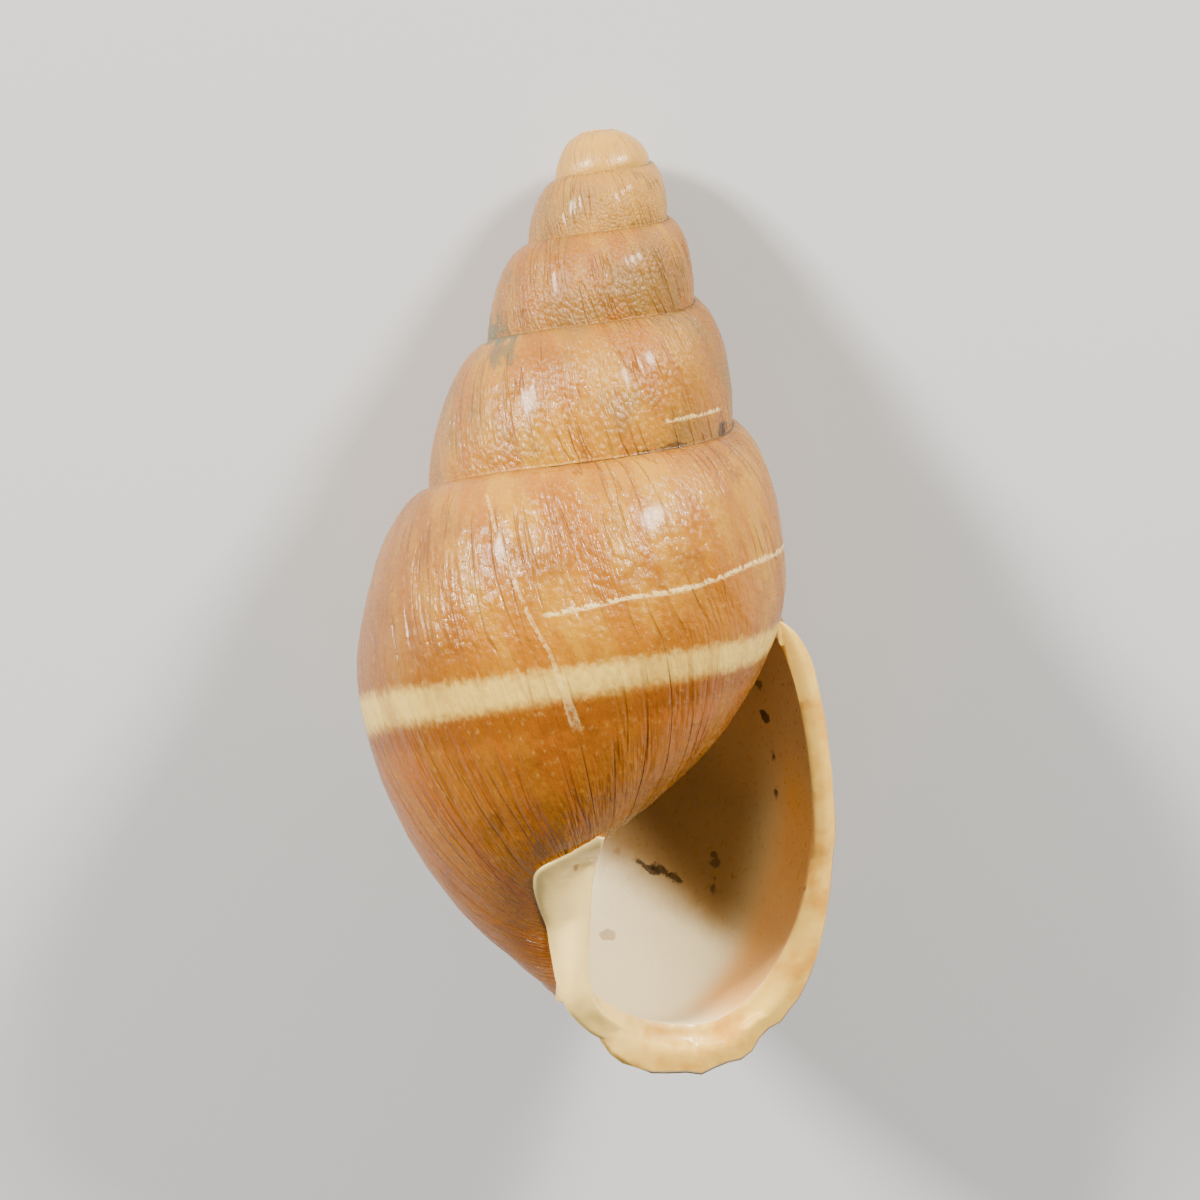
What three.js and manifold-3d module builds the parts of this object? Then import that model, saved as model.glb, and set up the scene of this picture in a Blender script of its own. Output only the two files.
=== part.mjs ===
// Land snail shell: a tall right-handed spiral of about six whorls with a
// flared lip and a reflected columellar plate, grown as one hollow piece.
//
// The shell is built in its own growth frame (axis along "depth", measured
// from the apex towards the base) and then laid down on the back of its last
// whorl with the mouth facing up: +Y points to the apex and +Z up, in mm.
import * as THREE from "three";
import { mergeVertices } from "three/addons/utils/BufferGeometryUtils.js";
import Module from "manifold-3d";

// ---- driving dimensions, millimetres and turns ------------------------------
const TURNS = 6.1;              // whorls from the mouth back to the apex
const MOUTH_RADIUS = 12.74;     // axis to the periphery at the mouth
const RADIUS_DECAY = 0.394;     // shrink rate of the radius per turn
const SLOW_SHARE = 0.6224;      // how much the growth slows near the mouth
const SLOW_TURNS = 0.6861;      // over how many turns it slows
const AXIS_SCALE = 34.47;       // depth of the periphery at the mouth
const AXIS_OFFSET = 3.6;        // ... less this apex offset
const AXIS_DECAY = 0.4157;      // shrink rate of the depth per turn
const MOUTH_DROP = 5.94;        // extra drop of the periphery at the mouth
const MOUTH_SPAN = 0.22;        // turns over which the whorl opens into the mouth
const BASE_RATIO = 1.117;       // depth of a whorl's base over its radius
const BASE_SWELL = 0.164;       // extra base depth around SWELL_TURN
const SWELL_TURN = 0.45;
const SWELL_WIDTH = 0.3;
const MOUTH_BASE = 10.18;       // depth of the base below the periphery at the mouth
const MOUTH_CENTRE = 7.37;      // radius of the lowest point of the mouth
const BASE_HOOK = THREE.MathUtils.degToRad(44); // return of the base to the axis
const COLUMELLA_RADIUS = 0.75;  // solid pillar on the axis
const INNER_PILLAR = 0.83;      // ... and its radius inside the hollow
const SHOULDER_POWER = 1.78;    // roundness of the shoulder, whorls
const SHOULDER_POWER_MOUTH = 1.45;
const BASE_POWER = 1.684;       // roundness of the base, whorls
const BASE_POWER_MOUTH = 2.31;
const SUTURE_SHARE = 0.0345;    // suture below the periphery, share of base depth
const SUTURE_EXTRA = 0.1257;    // ... more on the last whorl
const SUTURE_TURNS = 0.2582;
const LAST_TURN = 5.9;          // oldest section before the closed tip
const APEX_START = 5.35;        // turn where the nucleus closes over
const APEX_DEPTH = 0.12;        // depth of the closed tip below the apex plane
const LIP_LAG = 0.04;           // how far the lip runs back, turns at the periphery
const LIP_LAG_POWER = 1.32;
const LIP_LAG_TURNS = 0.32;     // turns over which the lag dies out
const LIP_FLARE = 0.7;          // outward flare of the lip
const LIP_SPREAD = 1.7;         // how much more it flares at the base
const LIP_ROLL = 0.35;          // height of the rounded lip
const WALL = 0.5;               // wall thickness at the mouth
const CAVITY_TURNS = 3.3;       // how far the hollow winds up
const LIP_THICKENING = 0.7;     // extra wall behind the lip at the base
const LIP_OPENING = 0.5;        // how fast the mouth opens across the lip
const CORNER_SHARE = 0.05;      // gap between the suture and the hollow's corner
const PARIETAL_CLEAR = 0.1;     // glaze left on the whorl inside the mouth
const MOUTH_NORMAL = new THREE.Vector3(0.22, 0.96, 0.17).normalize();
const PLATE_THICK = 0.3;        // columellar plate over the pillar
const PLATE_BED = 0.7;          // ... and its depth into the pillar
// columellar plate: left and right edges, [offset from the axis, depth]
const PLATE_LEFT = [[0.95, 34.95], [-0.45, 35.85], [-1.85, 36.7], [-2.15, 37.6],
  [-1.9, 38.8], [-1.4, 40.0], [-1.1, 41.4], [-0.7, 43.0], [0.0, 44.4], [1.1, 45.5],
  [2.3, 46.1]];
const PLATE_RIGHT = [[1.35, 35.05], [1.1, 36.1], [0.95, 37.1], [0.85, 38.1],
  [0.8, 39.2], [0.78, 40.4], [0.8, 41.6], [1.0, 43.0], [1.6, 44.2], [2.5, 45.0],
  [3.4, 45.5]];
const PLATE_TURN = [42.9, 45.5]; // depths between which it turns along the lip
const LIP_SLANT = 0.62;         // ... that falls away behind the pillar
// resting pose: turns applied to the shell about its own axes
const REST_ROLL = 1.869;        // about the axis, degrees
const REST_PITCH = -17.91;      // apex end down, degrees
const REST_FLAT = 0.14;         // depth levelled off the belly so that it lies steady

// ---- mesh steps ------------------------------------------------------------
const STEPS = 26;               // sections per turn
const SHOULDER_STEPS = 6;
const BELT_STEPS = 2;           // below the periphery down to the next suture
const BASE_STEPS = 9;
const PARIETAL_STEPS = 6;
const PILLAR_STEPS = 2;
const INNER_STEPS = 15;
const FINEST = 0.04;            // shortest edge kept after the cuts

// ---- growth laws -----------------------------------------------------------
const clamp = (x, a, b) => Math.min(b, Math.max(a, x));
const mix = (a, b, s) => a + (b - a) * s;
const smooth = (x) => { const s = clamp(x, 0, 1); return s * s * (3 - 2 * s); };
const growth = (t) => t - SLOW_SHARE * SLOW_TURNS * (1 - Math.exp(-t / SLOW_TURNS));
const mouth = (t) => Math.exp(-((Math.max(t, 0) / MOUTH_SPAN) ** 2));
const radius = (t) => MOUTH_RADIUS * Math.exp(-RADIUS_DECAY * growth(t));
const periphery = (t) => -AXIS_OFFSET + AXIS_SCALE * Math.exp(-AXIS_DECAY * growth(t))
  + MOUTH_DROP * mouth(t);
const baseDepth = (t) => {
  const swell = Math.exp(-(((t - SWELL_TURN) / SWELL_WIDTH) ** 2));
  return mix(radius(t) * (BASE_RATIO + BASE_SWELL * swell), MOUTH_BASE, mouth(t));
};
const basePower = (t) => mix(BASE_POWER, BASE_POWER_MOUTH, mouth(t));
const baseArc = (t) => Math.PI / 2 + BASE_HOOK * Math.sqrt(mouth(t));

/** Point [radius, depth] of the base at turn t, share u from periphery to pillar. */
function basePoint(t, u, wall = 0) {
  const power = 2 / basePower(t);
  const m = mouth(t);
  const centre = mix(COLUMELLA_RADIUS, MOUTH_CENTRE, m);
  const over = baseArc(t) - Math.PI / 2;
  const inner = (centre - COLUMELLA_RADIUS) / Math.max(Math.sin(over), 1e-9) ** power;
  const angle = u * baseArc(t);
  const c = Math.cos(angle);
  const r = c >= 0
    ? centre + (radius(t) - wall - centre) * c ** power
    : centre - inner * (-c) ** power;
  return [r, periphery(t) + (baseDepth(t) - wall) * Math.abs(Math.sin(angle)) ** power];
}

/** Share u of the base at turn t where the next whorl's suture sits. */
function sutureShare(t) {
  const share = SUTURE_SHARE + SUTURE_EXTRA * Math.exp(-Math.max(t - 1, 0) / SUTURE_TURNS);
  return Math.asin(share ** (basePower(t) / 2)) / baseArc(t);
}

/** Point of the shoulder at turn t, share v from a start point to the periphery. */
function shoulderPoint(t, v, start, wall = 0) {
  const power = 2 / mix(SHOULDER_POWER, SHOULDER_POWER_MOUTH, mouth(t));
  const angle = v * Math.PI / 2;
  const low = periphery(t);
  return [
    start[0] + (radius(t) - wall - start[0]) * Math.sin(angle) ** power,
    low - (low - start[1]) * Math.cos(angle) ** power,
  ];
}

/** Pull a point onto the closed tip as turn t passes the nucleus. */
function closeApex([r, z], t) {
  const s = smooth((t - APEX_START) / (TURNS - APEX_START));
  return [r * (1 - s), mix(z, APEX_DEPTH, s)];
}

const suture = (t) => closeApex(basePoint(t + 1, sutureShare(t + 1)), t + 1);

/** Outer profile at turn t: s 0..1 shoulder, 1..2 base. */
function outerPoint(t, s) {
  if (s <= 1) return closeApex(shoulderPoint(t, s, suture(t)), t);
  return closeApex(basePoint(t, s - 1), t);
}

const lag = (s) => LIP_LAG * Math.max(s, 0) ** LIP_LAG_POWER;
const lagged = (t, s) => t + lag(s) * (1 - smooth(t / LIP_LAG_TURNS));

/** Growth-frame point: x right, y towards the mouth side, depth from the apex. */
function place(t, [r, z]) {
  const angle = -2 * Math.PI * t;
  return new THREE.Vector3(r * Math.cos(angle), r * Math.sin(angle), z);
}

/** Outward direction of the outer profile in its own half-plane. */
function outward(t, s) {
  const a = outerPoint(t, Math.max(s - 0.01, 0));
  const b = outerPoint(t, Math.min(s + 0.01, 2));
  const length = Math.hypot(b[0] - a[0], b[1] - a[1]) || 1;
  return [(b[1] - a[1]) / length, -(b[0] - a[0]) / length];
}

/** Outer surface with the flare that turns the last stretch out into the lip. */
function outerSurface(t, s) {
  const turn = lagged(t, s);
  const point = outerPoint(turn, s);
  const near = Math.exp(-((t / 0.012) ** 2));
  const flare = LIP_FLARE * near * smooth(s / 0.9) * (1 + LIP_SPREAD * clamp(s - 1, 0, 1));
  if (flare > 1e-4) {
    const n = outward(turn, s);
    point[0] += flare * n[0];
    point[1] += flare * n[1];
  }
  point[0] = Math.max(point[0], COLUMELLA_RADIUS);
  return place(turn, point);
}

// ---- closed solids ---------------------------------------------------------
/** Collects points and triangles of one closed surface. */
class Surface {
  constructor() {
    this.points = [];
    this.faces = [];
  }

  add(point) {
    this.points.push(point.x, point.y, point.z);
    return this.points.length / 3 - 1;
  }

  triangle(a, b, c) {
    if (a !== b && b !== c && c !== a) this.faces.push(a, b, c);
  }

  quad(a, b, c, d) {
    this.triangle(a, b, c);
    this.triangle(a, c, d);
  }

  /** Triangles between two rows of vertices of any two lengths. */
  zip(rowA, rowB) {
    let i = 0;
    let j = 0;
    while (i < rowA.length - 1 || j < rowB.length - 1) {
      const stepA = (i + 1) / (rowA.length - 1 || 1);
      const stepB = (j + 1) / (rowB.length - 1 || 1);
      if (j >= rowB.length - 1 || (i < rowA.length - 1 && stepA <= stepB)) {
        this.triangle(rowA[i], rowA[i + 1], rowB[j]);
        i += 1;
      } else {
        this.triangle(rowA[i], rowB[j + 1], rowB[j]);
        j += 1;
      }
    }
  }

  geometry() {
    const raw = new THREE.BufferGeometry();
    raw.setAttribute("position", new THREE.Float32BufferAttribute(this.points, 3));
    raw.setIndex(this.faces);
    return mergeVertices(raw, 1e-4);
  }
}

/** Turns (from the mouth) of the sections, finer where the lip flares. */
function sectionTurns() {
  const turns = [0, 0.006, 0.014, 0.024];
  for (let i = 2; i <= Math.round(TURNS * STEPS); i += 1) turns.push(i / STEPS);
  return turns;
}

/** The whole outside, closed across the mouth. */
function outerSolid() {
  const body = new Surface();
  const turns = sectionTurns();
  const head = turns.findIndex((t) => t >= 1 - 1e-9);
  const columns = SHOULDER_STEPS + BELT_STEPS;
  // every section of the last turn has a partner one turn older
  const ladder = turns.slice(0, head + 1);
  const all = [...ladder];
  for (let k = 1; k <= TURNS; k += 1) {
    for (const t of ladder.slice(1)) {
      if (k + t <= LAST_TURN + 1e-6) all.push(k + t);
    }
  }
  const apex = body.add(place(0, [0, APEX_DEPTH]));
  const tip = all.length;
  const rows = [];
  for (let i = 0; i < tip; i += 1) {
    const t = all[i];
    const row = [];
    for (let j = 0; j <= columns; j += 1) {
      if (j === columns && i >= head) {
        row.push(rows[i - head][0]);
      } else if (t >= LAST_TURN - 1 && j === 0) {
        row.push(apex);
      } else {
        const s = j <= SHOULDER_STEPS
          ? j / SHOULDER_STEPS
          : 1 + sutureShare(lagged(t, 1)) * (j - SHOULDER_STEPS) / BELT_STEPS;
        row.push(body.add(outerSurface(t, s)));
      }
    }
    rows.push(row);
  }
  for (let i = 0; i < tip - 1; i += 1) {
    for (let j = 0; j < columns; j += 1) {
      body.quad(rows[i][j], rows[i][j + 1], rows[i + 1][j + 1], rows[i + 1][j]);
    }
  }
  // the last section collapses on the tip
  for (let j = 0; j < columns; j += 1) {
    body.triangle(rows[tip - 1][j], rows[tip - 1][j + 1], apex);
  }
  // base of the last whorl, from the suture line to the pillar
  const base = [];
  for (let i = 0; i <= head; i += 1) {
    const t = all[i];
    const start = sutureShare(lagged(t, 1));
    const row = [rows[i][columns]];
    for (let j = 1; j <= BASE_STEPS; j += 1) {
      row.push(body.add(outerSurface(t, 1 + mix(start, 1, j / BASE_STEPS))));
    }
    base.push(row);
  }
  for (let i = 0; i < head; i += 1) {
    for (let j = 0; j < BASE_STEPS; j += 1) {
      body.quad(base[i][j], base[i][j + 1], base[i + 1][j + 1], base[i + 1][j]);
    }
  }
  // tip of the pillar: a ring at the depth of the mouth's base, and a dome
  const ring = [base[0][BASE_STEPS]];
  const tipDepth = body.points[3 * ring[0] + 2];
  for (let i = 1; i <= head; i += 1) {
    ring.push(body.add(place(lagged(all[i], 2), [COLUMELLA_RADIUS, tipDepth])));
    body.quad(base[i - 1][BASE_STEPS], ring[i - 1], ring[i], base[i][BASE_STEPS]);
  }
  const dome = body.add(place(0, [0, tipDepth + 0.25]));
  for (let i = 0; i < head; i += 1) body.triangle(ring[i], dome, ring[i + 1]);
  body.triangle(ring[head], dome, ring[0]);
  // face of the lip: rounded crest, then the flat closed by the hollow later
  const edge = [...rows[0], ...base[0].slice(1)];
  const shares = mouthShares();
  const crest = [edge[0]];
  const inner = [edge[0]];
  for (let j = 1; j < edge.length - 1; j += 1) {
    crest.push(body.add(mouthPoint(shares[j], 0.15, LIP_ROLL)));
    inner.push(body.add(mouthPoint(shares[j], -0.5, LIP_ROLL * 0.6)));
  }
  crest.push(edge[edge.length - 1]);
  inner.push(edge[edge.length - 1]);
  body.zip(crest, edge);
  body.zip(inner, crest);
  body.zip([...base[head], ring[head], ring[0]], inner);
  return body.geometry();
}

/** Shares s of the profile at each vertex along the mouth's outer edge. */
function mouthShares() {
  const shares = [];
  const start = sutureShare(lagged(0, 1));
  for (let j = 0; j <= SHOULDER_STEPS; j += 1) shares.push(j / SHOULDER_STEPS);
  for (let j = 1; j <= BELT_STEPS; j += 1) shares.push(1 + start * j / BELT_STEPS);
  for (let j = 1; j <= BASE_STEPS; j += 1) shares.push(1 + mix(start, 1, j / BASE_STEPS));
  return shares;
}

/** Point of the lip face: out is measured outward from the shell's own profile. */
function mouthPoint(s, out, forward) {
  const turn = lagged(0, s);
  const point = outerPoint(turn, s);
  const n = outward(turn, s);
  const fade = smooth(s / 0.35) * (1 - smooth((s - 1.75) / 0.25));
  point[0] = Math.max(point[0] + out * fade * n[0], COLUMELLA_RADIUS);
  point[1] += out * fade * n[1];
  const placed = place(turn, point);
  return placed.addScaledVector(MOUTH_NORMAL, forward * fade);
}

/** Wall thickness of the hollow behind the outer profile. */
function wallAt(t, s) {
  const thick = WALL * Math.exp(-0.12 * Math.max(t, 0));
  return thick + LIP_THICKENING * smooth((s - 0.9) / 0.6) * Math.exp(-((t / 0.04) ** 2));
}

/** One closed loop of the hollow at turn t, moved forward of the mouth by ahead. */
function cavityLoop(t, ahead) {
  const loop = [];
  const start = sutureShare(t + 1) + CORNER_SHARE;
  for (let j = 0; j <= PARIETAL_STEPS; j += 1) {
    const u = mix(start, 1, j / PARIETAL_STEPS);
    const clear = PARIETAL_CLEAR * Math.exp(-((t / 0.2) ** 2)) + ahead * 0.25;
    const angle = t - ahead / (2 * Math.PI * Math.max(basePoint(t + 1, u)[0], 1.4));
    const [r, z] = basePoint(angle + 1, u);
    const before = basePoint(angle + 1, u - 0.01);
    const after = basePoint(angle + 1, Math.min(u + 0.01, 1));
    const length = Math.hypot(after[0] - before[0], after[1] - before[1]);
    const n = [(after[1] - before[1]) / length, -(after[0] - before[0]) / length];
    loop.push(place(angle, [Math.max(r + clear * n[0], INNER_PILLAR), z + clear * n[1]]));
  }
  // down the pillar
  const top = basePoint(t + 1, 1)[1];
  const low = basePoint(lagged(t, 2), 1, wallAt(t, 2))[1];
  for (let j = 1; j <= PILLAR_STEPS; j += 1) {
    const k = j / (PILLAR_STEPS + 1);
    const turn = mix(t, lagged(t, 2), k);
    const p = place(turn, [INNER_PILLAR, mix(top, low, k)]);
    loop.push(p.addScaledVector(MOUTH_NORMAL, ahead));
  }
  // back along the inside of the base and the shoulder
  const corner = basePoint(t + 1, start);
  for (let j = 0; j < INNER_STEPS; j += 1) {
    const s = 2 * (1 - j / INNER_STEPS);
    const turn = lagged(t, s);
    const wall = wallAt(t, s);
    const p = s > 1
      ? basePoint(turn, s - 1, wall)
      : shoulderPoint(turn, s, corner, wall);
    const n = outward(turn, clamp(s, 0.02, 1.9));
    const flare = ahead * LIP_OPENING * smooth(s / 0.3) * (1 - smooth((s - 1.6) / 0.4));
    const r = Math.max(p[0] + flare * n[0], INNER_PILLAR);
    loop.push(place(turn, [r, p[1] + flare * n[1]]).addScaledVector(MOUTH_NORMAL, ahead));
  }
  return loop;
}

/** The hollow that winds up inside the whorls from in front of the mouth. */
function cavitySolid() {
  const hollow = new Surface();
  const stations = [[0, 0.9], [0, 0.3], [0, 0], [0.012, 0], [0.03, 0]];
  for (let t = 2 / STEPS; t <= CAVITY_TURNS + 1e-6; t += 1 / STEPS) stations.push([t, 0]);
  const loops = stations.map(([t, ahead]) => cavityLoop(t, ahead).map((p) => hollow.add(p)));
  for (let i = 0; i < loops.length - 1; i += 1) {
    const n = loops[i].length;
    for (let j = 0; j < n; j += 1) {
      const k = (j + 1) % n;
      hollow.quad(loops[i][j], loops[i + 1][j], loops[i + 1][k], loops[i][k]);
    }
  }
  capLoop(hollow, loops[0], false);
  capLoop(hollow, loops[loops.length - 1], true);
  return hollow.geometry();
}

/** Close a loop of vertices with a fan about its middle. */
function capLoop(surface, loop, reverse) {
  const middle = new THREE.Vector3();
  for (const v of loop) {
    middle.add(new THREE.Vector3().fromArray(surface.points, 3 * v));
  }
  const centre = surface.add(middle.multiplyScalar(1 / loop.length));
  for (let j = 0; j < loop.length; j += 1) {
    const k = (j + 1) % loop.length;
    if (reverse) surface.triangle(loop[k], loop[j], centre);
    else surface.triangle(loop[j], loop[k], centre);
  }
}

/** How far forward the pillar and the base reach at (x, depth). */
function frontReach(x, depth) {
  let reach = Math.sqrt(Math.max(COLUMELLA_RADIUS ** 2 - x * x, 0));
  for (let y = 4.5; y > reach; y -= 0.05) {
    const r = Math.hypot(x, y);
    const t = 1 - Math.atan2(y, x) / (2 * Math.PI);
    const share = clamp((r - COLUMELLA_RADIUS) / (radius(t) - COLUMELLA_RADIUS), 0, 1);
    const power = basePower(t);
    const surface = periphery(t) + baseDepth(t) * (1 - share ** power) ** (1 / power);
    if (depth < surface) {
      reach = y;
      break;
    }
  }
  return reach;
}

/** The reflected plate that covers the pillar beside the mouth. */
function plateSolid() {
  const plate = new Surface();
  const left = new THREE.SplineCurve(PLATE_LEFT.map(([x, z]) => new THREE.Vector2(x, z)));
  const right = new THREE.SplineCurve(PLATE_RIGHT.map(([x, z]) => new THREE.Vector2(x, z)));
  const across = 5;
  const along = 18;
  const front = [];
  const back = [];
  for (let i = 0; i <= along; i += 1) {
    const a = left.getPoint(i / along);
    const b = right.getPoint(i / along);
    const rowFront = [];
    const rowBack = [];
    for (let j = 0; j <= across; j += 1) {
      const k = j / across;
      const x = mix(a.x, b.x, k);
      const z = mix(a.y, b.y, k);
      const pillar = frontReach(Math.min(x, COLUMELLA_RADIUS * 0.8), z);
      const turned = smooth((z - PLATE_TURN[0]) / (PLATE_TURN[1] - PLATE_TURN[0]));
      const y = mix(pillar, 0.1 - LIP_SLANT * x, turned);
      const rounded = Math.sqrt(Math.max(1 - (2 * k - 1) ** 4, 0));
      const sunk = 0.35 * smooth((i / along - 0.8) / 0.2);
      const lift = 0.05 + PLATE_THICK * rounded - sunk;
      rowFront.push(plate.add(new THREE.Vector3(x, y + lift, z)));
      rowBack.push(plate.add(new THREE.Vector3(x, y - PLATE_BED, z)));
    }
    front.push(rowFront);
    back.push(rowBack);
  }
  for (let i = 0; i < along; i += 1) {
    for (let j = 0; j < across; j += 1) {
      plate.quad(front[i][j], front[i + 1][j], front[i + 1][j + 1], front[i][j + 1]);
      plate.quad(back[i][j], back[i][j + 1], back[i + 1][j + 1], back[i + 1][j]);
    }
    plate.quad(front[i][0], back[i][0], back[i + 1][0], front[i + 1][0]);
    plate.quad(front[i][across], front[i + 1][across], back[i + 1][across], back[i][across]);
  }
  for (let j = 0; j < across; j += 1) {
    plate.quad(front[0][j], front[0][j + 1], back[0][j + 1], back[0][j]);
    plate.quad(front[along][j], back[along][j], back[along][j + 1], front[along][j + 1]);
  }
  return plate.geometry();
}

// ---- assembly --------------------------------------------------------------
const wasm = await Module();
wasm.setup();

/** A three.js geometry as a solid that can be joined and cut. */
function solid(geometry) {
  const made = new wasm.Manifold(new wasm.Mesh({
    numProp: 3,
    vertProperties: new Float32Array(geometry.getAttribute("position").array),
    triVerts: new Uint32Array(geometry.getIndex().array),
  }));
  return made;
}

/** The cut mesh as a geometry, with edges shorter than the finest detail closed up. */
function withoutSlivers(mesh) {
  const points = Array.from(mesh.vertProperties);
  let faces = Array.from(mesh.triVerts);
  const at = (v) => new THREE.Vector3().fromArray(points, 3 * v);
  for (let round = 0; round < 6; round += 1) {
    const target = new Map();
    const busy = new Set();
    for (let i = 0; i < faces.length; i += 3) {
      const tri = faces.slice(i, i + 3);
      for (let k = 0; k < 3; k += 1) {
        const a = tri[k];
        const b = tri[(k + 1) % 3];
        if (!busy.has(a) && !busy.has(b) && at(a).distanceTo(at(b)) < FINEST) {
          target.set(b, a);
          tri.forEach((v) => busy.add(v));
        }
      }
    }
    if (!target.size) break;
    faces = faces.map((v) => target.get(v) ?? v);
    const kept = [];
    for (let i = 0; i < faces.length; i += 3) {
      const [a, b, c] = faces.slice(i, i + 3);
      if (a !== b && b !== c && c !== a) kept.push(a, b, c);
    }
    faces = kept;
  }
  const geometry = new THREE.BufferGeometry();
  geometry.setAttribute("position", new THREE.Float32BufferAttribute(points, 3));
  geometry.setIndex(faces);
  return mergeVertices(geometry.toNonIndexed(), 1e-4);
}

const outer = solid(outerSolid());
const hollow = solid(cavitySolid());
const plate = solid(plateSolid());
const whole = outer.add(plate).subtract(hollow);
// growth frame (x, y, depth) to the lying frame (x, -depth, y), then the rest pose
const lying = new THREE.Matrix4().set(
  1, 0, 0, 0,
  0, 0, -1, 0,
  0, 1, 0, 0,
  0, 0, 0, 1,
);
lying.premultiply(new THREE.Matrix4().makeRotationY(THREE.MathUtils.degToRad(REST_ROLL)));
lying.premultiply(new THREE.Matrix4().makeRotationX(THREE.MathUtils.degToRad(REST_PITCH)));
const laid = whole.transform(lying.elements);
const level = laid.boundingBox().min[2] + REST_FLAT;
const shape = withoutSlivers(laid.trimByPlane([0, 0, 1], level).getMesh());
const corners = shape.getAttribute("position");
for (let i = 0; i < corners.count; i += 1) {
  if (corners.getZ(i) < level + 0.02) corners.setZ(i, level);
}
shape.computeBoundingBox();
const { min, max } = shape.boundingBox;
shape.translate(-(min.x + max.x) / 2, -(min.y + max.y) / 2, -min.z);
shape.computeVertexNormals();

const shell = new THREE.Mesh(shape, new THREE.MeshStandardMaterial({
  color: 0xb8894f, roughness: 0.42, metalness: 0,
}));
shell.name = "shell";
const group = new THREE.Group();
group.add(shell);
export default group;
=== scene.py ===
"""A land snail shell lying on its back, grown as one hollow spiral with a flared lip."""

import logging
import math
from dataclasses import dataclass, field
from enum import Enum
from typing import Any

import bpy
import numpy as np
from mathutils import Matrix, Vector

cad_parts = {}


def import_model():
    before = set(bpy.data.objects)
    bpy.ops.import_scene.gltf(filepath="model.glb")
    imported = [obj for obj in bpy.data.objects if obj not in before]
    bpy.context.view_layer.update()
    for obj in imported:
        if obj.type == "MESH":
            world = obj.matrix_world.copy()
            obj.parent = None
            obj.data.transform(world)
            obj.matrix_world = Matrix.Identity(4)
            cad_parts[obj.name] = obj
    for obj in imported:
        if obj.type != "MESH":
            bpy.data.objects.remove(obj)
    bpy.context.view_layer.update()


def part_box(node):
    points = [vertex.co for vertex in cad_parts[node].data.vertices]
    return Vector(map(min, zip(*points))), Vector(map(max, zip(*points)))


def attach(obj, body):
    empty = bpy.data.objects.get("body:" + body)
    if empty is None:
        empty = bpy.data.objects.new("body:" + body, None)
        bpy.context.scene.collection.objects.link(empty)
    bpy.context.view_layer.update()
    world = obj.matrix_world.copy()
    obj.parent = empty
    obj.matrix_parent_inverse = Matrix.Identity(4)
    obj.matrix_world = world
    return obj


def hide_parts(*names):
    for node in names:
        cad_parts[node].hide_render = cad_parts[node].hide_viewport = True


logging.basicConfig(level=logging.INFO, format="%(name)s: %(message)s")
LOG = logging.getLogger("shell")

MM = 0.001
LINE_KNOTS = 4096
SHEET_KNOTS = 256
SENSOR_WIDTH = 36.0

Array = np.ndarray


class Region(Enum):
    """Which skin of the shell a face belongs to, stored in the growth coordinate's third value."""

    OUTSIDE = 0.0
    INSIDE = 1.0
    LIP = 2.0
    PLATE = 3.0


# ---------------------------------------------------------------------------------------------
# growth
# ---------------------------------------------------------------------------------------------


def smooth(x: Array | float) -> Array:
    """Ease from 0 to 1.

    Args:
        x: Position, clipped to 0..1.

    Returns:
        The eased share.
    """
    s = np.clip(x, 0.0, 1.0)
    return s * s * (3 - 2 * s)


def mix(a: Array | float, b: Array | float, s: Array | float) -> Array:
    """Blend two values.

    Args:
        a: Value at share 0.
        b: Value at share 1.
        s: The share.

    Returns:
        The blended value.
    """
    return a + (b - a) * s


def wave(x: Array, seed: int) -> Array:
    """Smooth seeded noise along one coordinate, from -1 to 1, one bump about every unit.

    Args:
        x: Where to read the noise.
        seed: Which noise.

    Returns:
        The noise at each x.
    """
    knots = np.random.default_rng(seed).uniform(-1, 1, LINE_KNOTS)
    cell = np.floor(x).astype(int)
    f = smooth(x - cell)
    return mix(knots[cell % LINE_KNOTS], knots[(cell + 1) % LINE_KNOTS], f)


def sheet_noise(x: Array, y: Array, seed: int) -> Array:
    """Smooth seeded noise over two coordinates, from -1 to 1.

    Args:
        x: First coordinate.
        y: Second coordinate.
        seed: Which noise.

    Returns:
        The noise at each pair.
    """
    knots = np.random.default_rng(seed).uniform(-1, 1, (SHEET_KNOTS, SHEET_KNOTS))
    i, j = np.floor(x).astype(int), np.floor(y).astype(int)
    f, g = smooth(x - i), smooth(y - j)
    left, right = i % SHEET_KNOTS, (i + 1) % SHEET_KNOTS
    below, above = j % SHEET_KNOTS, (j + 1) % SHEET_KNOTS
    low = mix(knots[left, below], knots[right, below], f)
    high = mix(knots[left, above], knots[right, above], f)
    return mix(low, high, g)


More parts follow.
